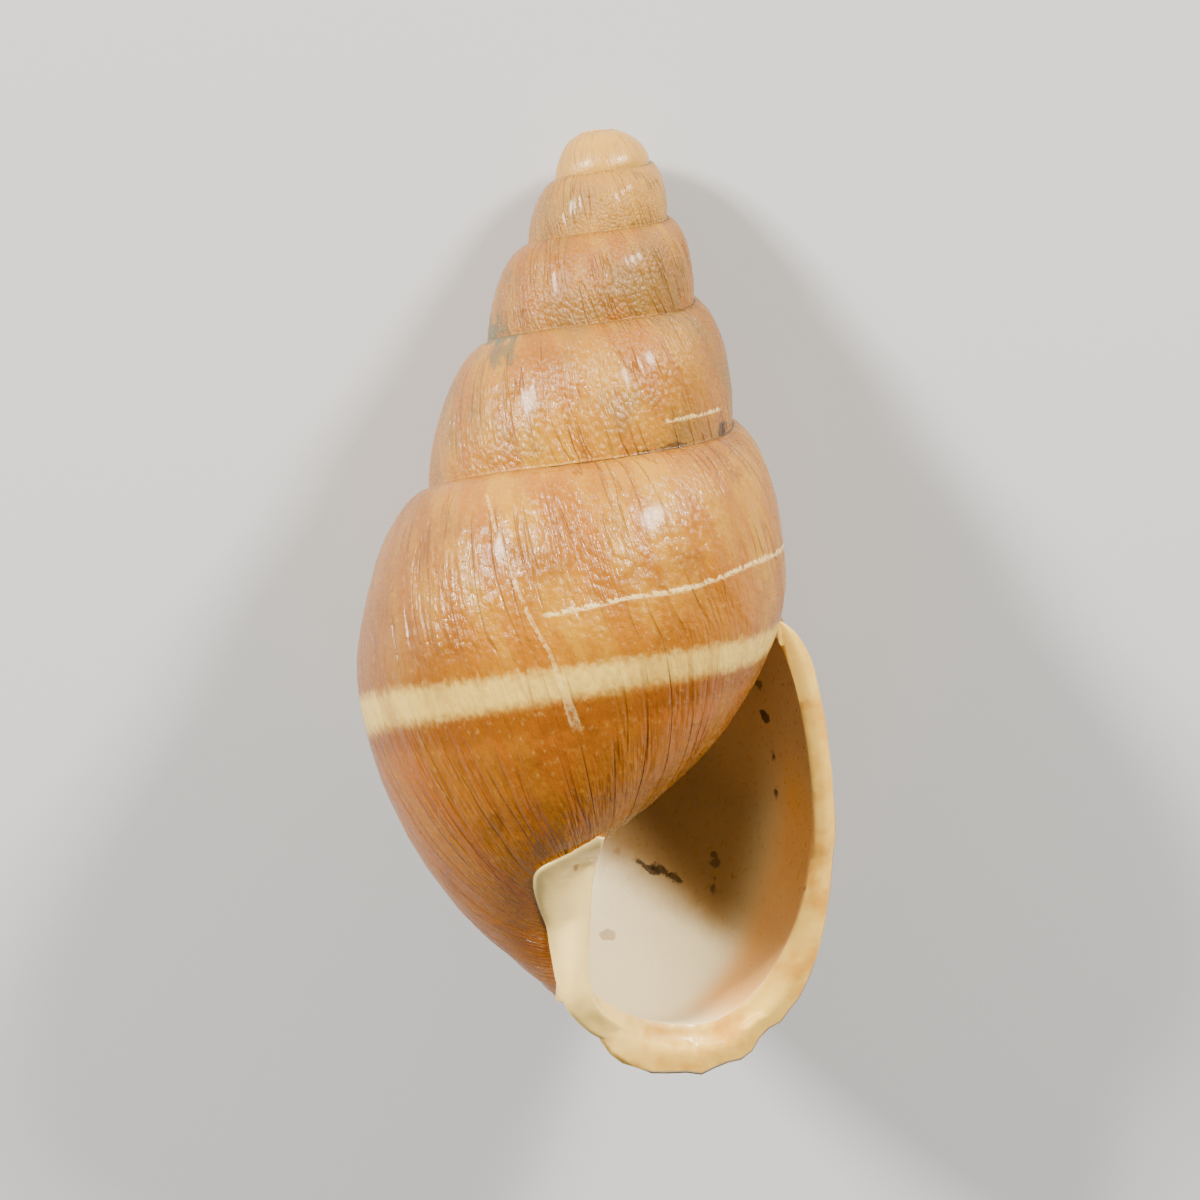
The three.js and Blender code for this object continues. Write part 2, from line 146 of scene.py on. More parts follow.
@dataclass(frozen=True)
class Growth:
    """The spiral's growth laws, in millimetres and in turns back from the mouth."""

    turns: float = 6.1
    last_turn: float = 5.9
    mouth_radius: float = 12.74
    radius_decay: float = 0.394
    slow_share: float = 0.6224
    slow_turns: float = 0.6861
    axis_scale: float = 34.47
    axis_offset: float = 3.6
    axis_decay: float = 0.4157
    mouth_drop: float = 5.94
    mouth_span: float = 0.22
    base_ratio: float = 1.117
    base_swell: float = 0.164
    swell_turn: float = 0.45
    swell_width: float = 0.3
    mouth_base: float = 10.18
    mouth_centre: float = 7.37
    base_hook: float = math.radians(44)
    pillar: float = 0.75
    inner_pillar: float = 0.83
    shoulder_power: float = 1.78
    shoulder_power_mouth: float = 1.45
    base_power: float = 1.684
    base_power_mouth: float = 2.31
    suture_share: float = 0.0345
    suture_extra: float = 0.1257
    suture_turns: float = 0.2582
    apex_start: float = 5.35
    apex_depth: float = 0.12
    lip_lag: float = 0.04
    lip_lag_power: float = 1.32
    lip_lag_turns: float = 0.32

    def mouth(self, t: Array) -> Array:
        """How far the whorl has opened into the mouth, 0 to 1, at turn t.

        Args:
            t: Turn.

        Returns:
            The share.
        """
        return np.exp(-((np.maximum(t, 0) / self.mouth_span) ** 2))

    def grown(self, t: Array) -> Array:
        """The turn t, slowed near the mouth.

        Args:
            t: Turn.

        Returns:
            The slowed turn.
        """
        slow = self.slow_share * self.slow_turns
        return t - slow * (1 - np.exp(-t / self.slow_turns))

    def radius(self, t: Array) -> Array:
        """Distance of the periphery from the axis at turn t.

        Args:
            t: Turn.

        Returns:
            The radius.
        """
        return self.mouth_radius * np.exp(-self.radius_decay * self.grown(t))

    def periphery(self, t: Array) -> Array:
        """Depth of the periphery below the apex at turn t.

        Args:
            t: Turn.

        Returns:
            The depth.
        """
        grow = self.axis_scale * np.exp(-self.axis_decay * self.grown(t))
        return grow - self.axis_offset + self.mouth_drop * self.mouth(t)

    def base_depth(self, t: Array) -> Array:
        """Depth of the base below the periphery at turn t.

        Args:
            t: Turn.

        Returns:
            The depth.
        """
        swell = np.exp(-(((t - self.swell_turn) / self.swell_width) ** 2))
        whorl = self.radius(t) * (self.base_ratio + self.base_swell * swell)
        return mix(whorl, self.mouth_base, self.mouth(t))

    def power(self, t: Array) -> Array:
        """Roundness of the base at turn t.

        Args:
            t: Turn.

        Returns:
            The power of its curve.
        """
        return mix(self.base_power, self.base_power_mouth, self.mouth(t))

    def arc(self, t: Array) -> Array:
        """Angle that the base's curve spans at turn t.

        Args:
            t: Turn.

        Returns:
            The angle in radians.
        """
        return math.pi / 2 + self.base_hook * np.sqrt(self.mouth(t))

    def base_point(self, t: Array, u: Array, wall: Array | float = 0.0) -> tuple[Array, Array]:
        """Radius and depth of the base.

        Args:
            t: Turn.
            u: Share from the periphery to the pillar.
            wall: How far inside the outer skin.

        Returns:
            The radius and the depth.
        """
        power = 2 / self.power(t)
        centre = mix(self.pillar, self.mouth_centre, self.mouth(t))
        over = self.arc(t) - math.pi / 2
        inner = (centre - self.pillar) / np.maximum(np.sin(over), 1e-9) ** power
        angle = u * self.arc(t)
        c = np.cos(angle)
        reach = np.abs(c) ** power
        r = np.where(c >= 0, centre + (self.radius(t) - wall - centre) * reach, centre - inner * reach)
        depth = self.periphery(t) + (self.base_depth(t) - wall) * np.abs(np.sin(angle)) ** power
        return r, depth

    def suture_at(self, t: Array) -> Array:
        """Share of the base at turn t where the next whorl's suture sits.

        Args:
            t: Turn.

        Returns:
            The share.
        """
        share = self.suture_share + self.suture_extra * np.exp(-np.maximum(t - 1, 0) / self.suture_turns)
        return np.arcsin(share ** (self.power(t) / 2)) / self.arc(t)

    def closed(self, r: Array, z: Array, t: Array) -> tuple[Array, Array]:
        """Pull a point onto the closed tip as turn t passes the nucleus.

        Args:
            r: Radius.
            z: Depth.
            t: Turn.

        Returns:
            The radius and the depth.
        """
        s = smooth((t - self.apex_start) / (self.turns - self.apex_start))
        return r * (1 - s), mix(z, self.apex_depth, s)

    def suture(self, t: Array) -> tuple[Array, Array]:
        """Radius and depth of the suture at turn t.

        Args:
            t: Turn.

        Returns:
            The radius and the depth.
        """
        r, z = self.base_point(t + 1, self.suture_at(t + 1))
        return self.closed(r, z, t + 1)

    def shoulder(self, t: Array, v: Array, start: tuple[Array, Array],
                 wall: Array | float = 0.0) -> tuple[Array, Array]:
        """Radius and depth of the shoulder.

        Args:
            t: Turn.
            v: Share from the start point to the periphery.
            start: Radius and depth where the shoulder starts.
            wall: How far inside the outer skin.

        Returns:
            The radius and the depth.
        """
        power = 2 / mix(self.shoulder_power, self.shoulder_power_mouth, self.mouth(t))
        angle = np.clip(v, 0, 1) * math.pi / 2
        low = self.periphery(t)
        r = start[0] + (self.radius(t) - wall - start[0]) * np.sin(angle) ** power
        return r, low - (low - start[1]) * np.cos(angle) ** power

    def outer(self, t: Array, s: Array) -> tuple[Array, Array]:
        """Radius and depth of the outer skin: s 0..1 is the shoulder and 1..2 the base.

        Args:
            t: Turn.
            s: Profile share.

        Returns:
            The radius and the depth.
        """
        high = self.closed(*self.shoulder(t, s, self.suture(t)), t)
        low = self.closed(*self.base_point(t, np.clip(s - 1, 0, 1)), t)
        return np.where(s <= 1, high[0], low[0]), np.where(s <= 1, high[1], low[1])

    def outward(self, t: Array, s: Array) -> tuple[Array, Array]:
        """Direction out of the outer skin in its own half-plane.

        Args:
            t: Turn.
            s: Profile share.

        Returns:
            Its part along the radius and along the depth.
        """
        a = self.outer(t, np.maximum(s - 0.01, 0))
        b = self.outer(t, np.minimum(s + 0.01, 2))
        dr, dz = b[0] - a[0], b[1] - a[1]
        length = np.maximum(np.hypot(dr, dz), 1e-9)
        return dz / length, -dr / length

    def lag(self, s: Array) -> Array:
        """How far behind the suture the growth line lies, in turns, at profile share s.

        Args:
            s: Profile share.

        Returns:
            The turns.
        """
        return self.lip_lag * np.maximum(s, 0) ** self.lip_lag_power

    def lagged(self, t: Array, s: Array) -> Array:
        """Turn of the mesh section t once the lip's slant has been sheared in.

        Args:
            t: Mesh section, in turns.
            s: Profile share.

        Returns:
            The turn.
        """
        return t + self.lag(s) * (1 - smooth(t / self.lip_lag_turns))


def place(t: Array, r: Array, z: Array) -> Array:
    """Growth-frame points: x right, y towards the mouth's side, then depth.

    Args:
        t: Turns.
        r: Radii.
        z: Depths.

    Returns:
        One row of three for each.
    """
    angle = -2 * math.pi * t
    return np.stack(np.broadcast_arrays(r * np.cos(angle), r * np.sin(angle), z), axis=-1)


def noted(t: float, s: Array, region: Region) -> Array:
    """Growth coordinates along one profile.

    Args:
        t: The profile's turn.
        s: Profile shares.
        region: Which skin it is.

    Returns:
        One row of three for each share.
    """
    return np.stack([np.full_like(s, t), s, np.full_like(s, region.value)], -1)


# ---------------------------------------------------------------------------------------------
# meshes
# ---------------------------------------------------------------------------------------------


def linked(name: str, data: bpy.types.ID) -> bpy.types.Object:
    """Make an object and link it to the scene.

    Args:
        name: The object's name.
        data: Its mesh, light or camera.

    Returns:
        The object.
    """
    made = bpy.data.objects.new(name, data)
    bpy.context.scene.collection.objects.link(made)
    return made


@dataclass
class Skin:
    """Points and faces of one closed surface, each with its growth coordinate."""

    points: list[Array] = field(default_factory=list)
    notes: list[Array] = field(default_factory=list)
    faces: list[tuple[int, ...]] = field(default_factory=list)
    face_notes: list[list[tuple[float, float, float]]] = field(default_factory=list)
    count: int = 0

    def add(self, points: Array, notes: Array) -> Array:
        """Add a row of points.

        Args:
            points: Rows of three.
            notes: Turn, profile share and region for each.

        Returns:
            Their numbers.
        """
        points = np.atleast_2d(points)
        self.points.append(points)
        self.notes.append(np.atleast_2d(notes))
        first = self.count
        self.count += len(points)
        return np.arange(first, self.count)

    def face(self, corners: list[int], notes: list[Any] | None = None) -> None:
        """Add a face, leaving out corners that repeat.

        Args:
            corners: Point numbers in order.
            notes: Growth coordinates for the corners, or None for the points' own.
        """
        kept, said = [], []
        for k, c in enumerate(corners):
            if c not in kept:
                kept.append(int(c))
                said.append(None if notes is None else notes[k])
        if len(kept) > 2:
            self.faces.append(tuple(kept))
            self.face_notes.append(said)

    def grid(self, rows: Array, notes: Array | None = None) -> None:
        """Fill a grid of point numbers with faces.

        Args:
            rows: Point numbers, one line per section.
            notes: Growth coordinates on the same grid, or None.
        """
        for i in range(len(rows) - 1):
            for j in range(rows.shape[1] - 1):
                corners = [rows[i, j], rows[i, j + 1], rows[i + 1, j + 1], rows[i + 1, j]]
                said = None
                if notes is not None:
                    said = [notes[i, j], notes[i, j + 1], notes[i + 1, j + 1], notes[i + 1, j]]
                self.face(corners, said)

    def zip(self, a: list[int], b: list[int]) -> None:
        """Fill between two lines of points of any two lengths.

        Args:
            a: Point numbers of the first line.
            b: Point numbers of the second line.
        """
        i = j = 0
        while i < len(a) - 1 or j < len(b) - 1:
            next_a = (i + 1) / max(len(a) - 1, 1)
            next_b = (j + 1) / max(len(b) - 1, 1)
            if j >= len(b) - 1 or (i < len(a) - 1 and next_a <= next_b):
                self.face([a[i], a[i + 1], b[j]])
                i += 1
            else:
                self.face([a[i], b[j + 1], b[j]])
                j += 1

    def build(self, name: str) -> bpy.types.Object:
        """Make the Blender object, in metres.

        Args:
            name: The object's name.

        Returns:
            The object, linked to the scene.
        """
        points = np.concatenate(self.points) * MM
        own = np.concatenate(self.notes)
        mesh = bpy.data.meshes.new(name)
        mesh.from_pydata(points.tolist(), [], self.faces)
        values = []
        for corners, said in zip(self.faces, self.face_notes, strict=True):
            for c, note in zip(corners, said, strict=True):
                values.append(own[c] if note is None else note)
        layer = mesh.attributes.new("growth", "FLOAT_VECTOR", "CORNER")
        layer.data.foreach_set("vector", np.asarray(values, np.float32).ravel())
        mesh.update()
        return linked(name, mesh)


@dataclass(frozen=True)
class Relief:
    """Wrinkles and dents of the outer skin, in millimetres."""

    ribs: float = 0.075
    folds: float = 0.12
    dents: float = 0.1
    threads: float = 0.03

    def height(self, growth: Growth, t: Array, s: Array) -> Array:
        """How far the skin stands out.

        Args:
            growth: The growth laws.
            t: Turn.
            s: Profile share.

        Returns:
            The height in millimetres.
        """
        line = t - growth.lag(s) * smooth(t / growth.lip_lag_turns)
        girth = 2 * math.pi * growth.radius(t)
        scale = np.clip(growth.radius(t) / growth.mouth_radius, 0.1, 1)
        slant = 0.03 * s
        ribs = wave((line - slant) * 112 + 0.9 * sheet_noise(line * 20, s * 5, 5), 7)
        folds = wave((line - slant) * 46 + 0.5 * sheet_noise(line * 9, s * 3, 6), 8)
        where = 0.5 + 0.5 * sheet_noise(line * 11, s * 2.2, 9)
        dents = sheet_noise(line * girth / 3.4, s * 4.2, 10)
        threads = wave(s * 34 + 0.4 * wave(line * 14, 12), 11)
        fade = smooth(s / 0.1) * smooth((5.3 - t) / 1.2)
        rise = self.ribs * ribs * where + self.folds * folds * where**2
        rise = rise + self.dents * dents * 0.6 + self.threads * threads * (1 - where)
        return rise * fade * mix(0.35, 1.0, scale)


@dataclass(frozen=True)
class Lip:
    """The flared edge of the mouth, in millimetres, its bends as (distance outward, share of the roll)."""

    flare: float = 0.75
    spread: float = 1.7
    roll: float = 0.32
    thickening: float = 0.7
    opening: float = 0.5
    wall: float = 0.5
    corner_share: float = 0.05
    parietal_clear: float = 0.1
    chips: float = 0.16
    normal: tuple[float, float, float] = (0.22, 0.96, 0.17)
    bends: tuple[tuple[float, float], ...] = (
        (0.66, 0.256), (0.5, 0.432), (0.28, 1.0), (0.02, 1.0), (-0.24, 0.82), (-0.5, 0.5), (-0.8, 0.1),
    )

    def ahead(self) -> Array:
        """Unit direction out of the mouth.

        Returns:
            The direction.
        """
        n = np.array(self.normal)
        return n / np.linalg.norm(n)

    def ragged(self, s: Array) -> Array:
        """How much the edge is worn back at profile share s.

        Args:
            s: Profile share.

        Returns:
            The wear in millimetres.
        """
        wear = 0.5 + 0.5 * wave(s * 19, 21)
        lower = smooth((s - 1.25) / 0.3)
        chip = np.exp(-(((s - 1.435) / 0.018) ** 2)) + 0.5 * np.exp(-(((s - 1.36) / 0.012) ** 2))
        return self.chips * wear * mix(0.25, 1.3, lower) + 0.45 * chip

    def wall_at(self, t: Array, s: Array) -> Array:
        """Wall thickness behind the outer skin.

        Args:
            t: Turn.
            s: Profile share.

        Returns:
            The thickness in millimetres.
        """
        thick = self.wall * np.exp(-0.12 * np.maximum(t, 0))
        return thick + self.thickening * smooth((s - 0.9) / 0.6) * np.exp(-((t / 0.04) ** 2))


@dataclass
class OuterSkin:
    """The outside of every whorl, closed over the mouth and the tip."""

    growth: Growth
    lip: Lip
    relief: Relief
    steps: int = 260
    shoulder_steps: int = 22
    belt_steps: int = 4
    base_steps: int = 26
    dome: float = 0.25

    def ladder(self) -> Array:
        """Turns of the sections of one whorl, closer together behind the lip.

        Returns:
            The turns.
        """
        even = np.arange(0, self.steps + 1) / self.steps
        extra = np.array([0.0008, 0.0018, 0.003, 0.0055, 0.0095])
        return np.unique(np.round(np.concatenate([even, extra]), 6))

    def surface(self, t: Array, s: Array) -> Array:
        """Points of the outer skin with its relief and the lip's flare.

        Args:
            t: Mesh section, in turns.
            s: Profile share.

        Returns:
            Rows of three, in millimetres.
        """
        g, lip = self.growth, self.lip
        turn = g.lagged(t, s)
        r, z = g.outer(turn, s)
        nr, nz = g.outward(turn, s)
        near = np.exp(-((t / 0.011) ** 2))
        grow = smooth(s / 0.9) * (1 + lip.spread * np.clip(s - 1, 0, 1))
        flare = (lip.flare - lip.ragged(s)) * near * grow
        edge = smooth(t / 0.02)
        out = flare + self.relief.height(g, t, s) * edge
        join = smooth((1.98 - s) / 0.25)
        r = np.maximum(r + out * nr * join, np.minimum(g.pillar, r))
        return place(turn, r, z + out * nz * join)

    def mouth_line(self, s: Array, out: float, forward: float) -> Array:
        """Points of the lip's face.

        Args:
            s: Profile shares.
            out: Distance outward from the plain profile.
            forward: Distance out of the mouth.

        Returns:
            Rows of three.
        """
        g = self.growth
        turn = g.lagged(np.zeros_like(s), s)
        r, z = g.outer(turn, s)
        nr, nz = g.outward(turn, s)
        fade = smooth(s / 0.35) * (1 - smooth((s - 1.8) / 0.2))
        wide = 1 + self.lip.spread * np.clip(s - 1, 0, 1)
        worn = (out - self.lip.ragged(s)) * wide if out > 0 else out
        placed = place(turn, np.maximum(r + worn * fade * nr, g.pillar), z + worn * fade * nz)
        return placed + self.lip.ahead() * (forward * fade)[:, None]

    def build(self) -> Skin:
        """Make the closed outer skin.

        Returns:
            The skin.
        """
        g = self.growth
        skin = Skin()
        ladder = self.ladder()
        head = len(ladder) - 1
        turns = list(ladder)
        for k in range(1, 7):
            turns += [k + x for x in ladder[1:] if k + x <= g.last_turn]
        all_turns = np.array(turns)
        columns = self.shoulder_steps + self.belt_steps
        shoulder = np.linspace(0, 1, self.shoulder_steps + 1)
        apex = skin.add(np.array([[0, 0, g.apex_depth]]), np.array([[g.turns, 0.5, 0.0]]))[0]
        rows = np.zeros((len(all_turns), columns + 1), int)
        notes = np.zeros((len(all_turns), columns + 1, 3))
        for i, t in enumerate(all_turns):
            start = float(g.suture_at(g.lagged(t, 1.0)))
            belt = 1 + start * np.arange(1, self.belt_steps + 1) / self.belt_steps
            s = np.concatenate([shoulder, belt])
            notes[i] = noted(t, s, Region.OUTSIDE)
            kept = s if i < head else s[:-1]
            numbers = skin.add(self.surface(np.full_like(kept, t), kept), notes[i][: len(kept)])
            rows[i, : len(kept)] = numbers
            if i >= head:
                rows[i, columns] = rows[i - head, 0]
            if t >= g.last_turn - 1:
                rows[i, 0] = apex
        skin.grid(rows, notes)
        for j in range(columns):
            skin.face([rows[-1, j], rows[-1, j + 1], apex])
        base = self.add_base(skin, all_turns[: head + 1], rows)
        self.close_mouth(skin, rows, base, head)
        return skin

    def add_base(self, skin: Skin, turns: Array, rows: Array) -> Array:
        """Add the base of the last whorl, from the suture line to the pillar.

        Args:
            skin: The skin to add to.
            turns: Turns of the sections.
            rows: Point numbers of the whorls above.

        Returns:
            The base's point numbers.
        """
        g = self.growth
        base = np.zeros((len(turns), self.base_steps + 1), int)
        notes = np.zeros((len(turns), self.base_steps + 1, 3))
        for i, t in enumerate(turns):
            start = float(g.suture_at(g.lagged(t, 1.0)))
            s = 1 + np.linspace(start, 1, self.base_steps + 1)
            notes[i] = noted(t, s, Region.OUTSIDE)
            base[i, 0] = rows[i, -1]
            base[i, 1:] = skin.add(self.surface(np.full_like(s[1:], t), s[1:]), notes[i][1:])
        skin.grid(base, notes)
        return base

    def close_mouth(self, skin: Skin, rows: Array, base: Array, head: int) -> None:
        """Add the pillar's tip and the face of the lip, across to the whorl behind.

        Args:
            skin: The skin to add to.
            rows: Point numbers of the whorls.
            base: Point numbers of the base.
            head: How many sections make one whorl.
        """
        g = self.growth
        points = np.concatenate(skin.points)
        ends = points[base[:, -1]]
        tip_depth = ends[0, 2]
        ring = [int(base[0, -1])]
        scale = g.pillar / np.maximum(np.hypot(ends[:, 0], ends[:, 1]), 1e-6)
        for i in range(1, head + 1):
            p = np.array([[ends[i, 0] * scale[i], ends[i, 1] * scale[i], tip_depth]])
            ring.append(int(skin.add(p, np.array([[0.5, 2.0, Region.PLATE.value]]))[0]))
            skin.face([base[i - 1, -1], ring[i - 1], ring[i], base[i, -1]])
        top = np.array([[0, 0, tip_depth + self.dome]])
        dome = int(skin.add(top, np.array([[0.5, 2, Region.PLATE.value]]))[0])
        for i in range(head):
            skin.face([ring[i], dome, ring[i + 1]])
        skin.face([ring[head], dome, ring[0]])
        edge = [*rows[0], *base[0][1:]]
        start = float(g.suture_at(g.lagged(0.0, 1.0)))
        shares = np.concatenate([
            np.linspace(0, 1, self.shoulder_steps + 1),
            1 + start * np.arange(1, self.belt_steps + 1) / self.belt_steps,
            1 + mix(start, 1, np.arange(1, self.base_steps + 1) / self.base_steps),
        ])
        middle = shares[1:-1]
        previous = edge
        for out, lift in self.lip.bends:
            line = self.mouth_line(middle, out, self.lip.roll * lift)
            row = [edge[0], *skin.add(line, noted(0.0, middle, Region.LIP)), edge[-1]]
            skin.zip(row, previous)
            previous = row
        skin.zip([*base[head], ring[head], ring[0]], previous)


@dataclass
class Hollow:
    """The space inside the whorls, reaching out of the mouth."""

    growth: Growth
    lip: Lip
    steps: int = 150
    turns: float = 3.3
    parietal_steps: int = 14
    pillar_steps: int = 4
    inner_steps: int = 40

    def loop(self, t: float, ahead: float) -> tuple[Array, Array]:
        """One closed loop of the hollow.

        Args:
            t: Turn of the loop.
            ahead: How far out of the mouth it is moved.

        Returns:
            Its points and their growth coordinates.
        """
        g, lip = self.growth, self.lip
        start = float(g.suture_at(t + 1)) + lip.corner_share
        u = np.linspace(start, 1, self.parietal_steps + 1)
        clear = lip.parietal_clear * math.exp(-((t / 0.2) ** 2)) + ahead * 0.25
        angle = t - ahead / (2 * math.pi * np.maximum(g.base_point(t + 1, u)[0], 1.4))
        r, z = g.base_point(angle + 1, u)
        before = g.base_point(angle + 1, u - 0.01)
        after = g.base_point(angle + 1, np.minimum(u + 0.01, 1))
        dr, dz = after[0] - before[0], after[1] - before[1]
        length = np.maximum(np.hypot(dr, dz), 1e-9)
        parietal = place(angle, np.maximum(r + clear * dz / length, g.inner_pillar), z - clear * dr / length)
        turn_low = float(g.lagged(t, 2.0))
        top = float(g.base_point(t + 1, 1.0)[1])
        low = float(g.base_point(turn_low, 1.0, lip.wall_at(t, 2.0))[1])
        k = np.arange(1, self.pillar_steps + 1) / (self.pillar_steps + 1)
        pillar = place(mix(t, turn_low, k), np.full_like(k, g.inner_pillar), mix(top, low, k))
        s = 2 * (1 - np.arange(self.inner_steps) / self.inner_steps)
        turn = g.lagged(t, s)
        wall = lip.wall_at(t, s)
        corner = g.base_point(np.float64(t + 1), start)
        high = g.shoulder(turn, s, corner, wall)
        base = g.base_point(turn, np.clip(s - 1, 0, 1), wall)
        nr, nz = g.outward(turn, np.clip(s, 0.02, 1.9))
        flare = ahead * lip.opening * smooth(s / 0.3) * (1 - smooth((s - 1.6) / 0.4))
        r = np.maximum(np.where(s > 1, base[0], high[0]) + flare * nr, g.inner_pillar)
        z = np.where(s > 1, base[1], high[1]) + flare * nz
        inner = place(turn, r, z)
        forward = lip.ahead() * ahead
        points = np.concatenate([parietal, pillar + forward, inner + forward])
        share = np.concatenate([3 + u, 3.98 + 0 * k, s])
        region = np.full(len(points), Region.INSIDE.value)
        notes = np.stack([np.full(len(points), t - ahead * 0.02), share, region], -1)
        return points, notes

    def build(self) -> Skin:
        """Make the closed solid of the hollow.

        Returns:
            The skin.
        """
        skin = Skin()
        stations = [(0.0, 0.95), (0.0, 0.7), (0.0, 0.45), (0.0, 0.2), (0.0, 0.0)]
        near = [0.003, 0.007, 0.012, 0.018, 0.025, 0.033, 0.042]
        far = np.arange(8, int(self.turns * self.steps) + 1) / self.steps
        stations += [(t, 0.0) for t in [*near, *far]]
        rows, notes = [], []
        for t, ahead in stations:
            points, said = self.loop(float(t), ahead)
            numbers = skin.add(points, said)
            rows.append([*numbers, numbers[0]])
            notes.append([*said, said[0]])
        grid = np.array(rows)[::-1]
        skin.grid(grid, np.array(notes)[::-1])
        for row, flip in ((rows[0], False), (rows[-1], True)):
            ends = np.concatenate(skin.points)[row[:-1]]
            note = np.array([[self.turns if flip else 0.0, 1.0, Region.INSIDE.value]])
            centre = int(skin.add(ends.mean(axis=0)[None], note)[0])
            for a, b in zip(row[:-1], row[1:], strict=True):
                skin.face([b, a, centre] if flip else [a, b, centre])
        return skin


@dataclass
class ColumellarPlate:
    """The reflected plate that covers the pillar beside the mouth, edges as (offset, depth)."""

    growth: Growth
    thick: float = 0.3
    bed: float = 0.7
    left: tuple[tuple[float, float], ...] = (
        (0.95, 34.95), (-0.45, 35.85), (-1.85, 36.7), (-2.15, 37.6), (-1.9, 38.8),
        (-1.4, 40.0), (-1.1, 41.4), (-0.7, 43.0), (0.0, 44.4), (1.1, 45.5), (2.3, 46.1),
    )
    right: tuple[tuple[float, float], ...] = (
        (1.35, 35.05), (1.1, 36.1), (0.95, 37.1), (0.85, 38.1), (0.8, 39.2),
        (0.78, 40.4), (0.8, 41.6), (1.0, 43.0), (1.6, 44.2), (2.5, 45.0), (3.4, 45.5),
    )
    turn: tuple[float, float] = (42.9, 45.5)
    slant: float = 0.62
    sunk: float = 0.35
    across: int = 28
    along: int = 110
    blur: int = 4

    def reach(self, x: Array, depth: Array) -> Array:
        """How far forward the pillar and the base reach at each offset and depth.

        Args:
            x: Offsets from the axis.
            depth: Depths.

        Returns:
            The reach.
        """
        g = self.growth
        best = np.sqrt(np.maximum(g.pillar**2 - x * x, 0))
        for y in np.arange(0.0, 4.5, 0.05):
            r = np.hypot(x, y)
            t = 1 - np.arctan2(y, x) / (2 * math.pi)
            share = np.clip((r - g.pillar) / (g.radius(t) - g.pillar), 0, 1)
            power = g.power(t)
            surface = g.periphery(t) + g.base_depth(t) * (1 - share**power) ** (1 / power)
            best = np.where((depth < surface) & (y > best), y, best)
        return best

    def blurred(self, line: Array) -> Array:
        """Smooth a line of heights with a running mean.

        Args:
            line: The heights.

        Returns:
            As many heights, smoothed.
        """
        wide = 2 * self.blur + 1
        return np.convolve(np.pad(line, self.blur, "edge"), np.ones(wide) / wide, "valid")

    def edge(self, stations: tuple[tuple[float, float], ...], k: Array) -> Array:
        """Smooth curve through the stations of one edge.

        Args:
            stations: Offset and depth of each.
            k: Shares along the curve.

        Returns:
            Rows of offset and depth.
        """
        p = np.array(stations)
        p = np.concatenate([2 * p[:1] - p[1:2], p, 2 * p[-1:] - p[-2:-1]])
        x = k * (len(stations) - 1)
        i = np.minimum(x.astype(int), len(stations) - 2)
        f = (x - i)[:, None]
        a, b, c, d = p[i], p[i + 1], p[i + 2], p[i + 3]
        curve = 2 * b + (c - a) * f + (2 * a - 5 * b + 4 * c - d) * f**2
        return 0.5 * (curve + (3 * b - a - 3 * c + d) * f**3)

    def build(self) -> Skin:
        """Make the plate's closed solid.

        Returns:
            The skin.
        """
        skin = Skin()
        k = np.linspace(0, 1, self.along + 1)
        a, b = self.edge(self.left, k), self.edge(self.right, k)
        m = np.linspace(0, 1, self.across + 1)[None, :]
        x = a[:, :1] * (1 - m) + b[:, :1] * m
        z = a[:, 1:] * (1 - m) + b[:, 1:] * m
        y = self.reach(np.minimum(x, self.growth.pillar * 0.8), z)
        turned = smooth((z - self.turn[0]) / (self.turn[1] - self.turn[0]))
        y = mix(y, 0.1 - self.slant * x, turned)
        for axis in (0, 1, 0, 1):
            y = np.apply_along_axis(self.blurred, axis, y)
        rounded = np.sqrt(np.maximum(1 - (2 * m - 1) ** 4, 0))
        swell = 0.03 * sheet_noise(x * 2.2, z * 1.4, 31)
        sunk = self.sunk * smooth((k - 0.8) / 0.2)[:, None]
        front = np.stack([x, y + 0.04 + self.thick * rounded + swell - sunk, z], -1)
        back = np.stack([x, y - self.bed, z], -1)
        shape = (self.along + 1, self.across + 1)
        note = np.tile(np.array([0.5, 2.0, Region.PLATE.value]), (front.shape[0] * front.shape[1], 1))
        note[:, 1] = np.repeat(k, self.across + 1)
        f = skin.add(front.reshape(-1, 3), note).reshape(shape)
        r = skin.add(back.reshape(-1, 3), note).reshape(shape)
        skin.grid(f[:, ::-1])
        skin.grid(r)
        skin.grid(np.stack([r[:, 0], f[:, 0]], 1)[::-1])
        skin.grid(np.stack([f[:, -1], r[:, -1]], 1)[::-1])
        skin.grid(np.stack([f[0], r[0]], 0))
        skin.grid(np.stack([r[-1], f[-1]], 0))
        return skin


# ---------------------------------------------------------------------------------------------
# finishes
# ---------------------------------------------------------------------------------------------


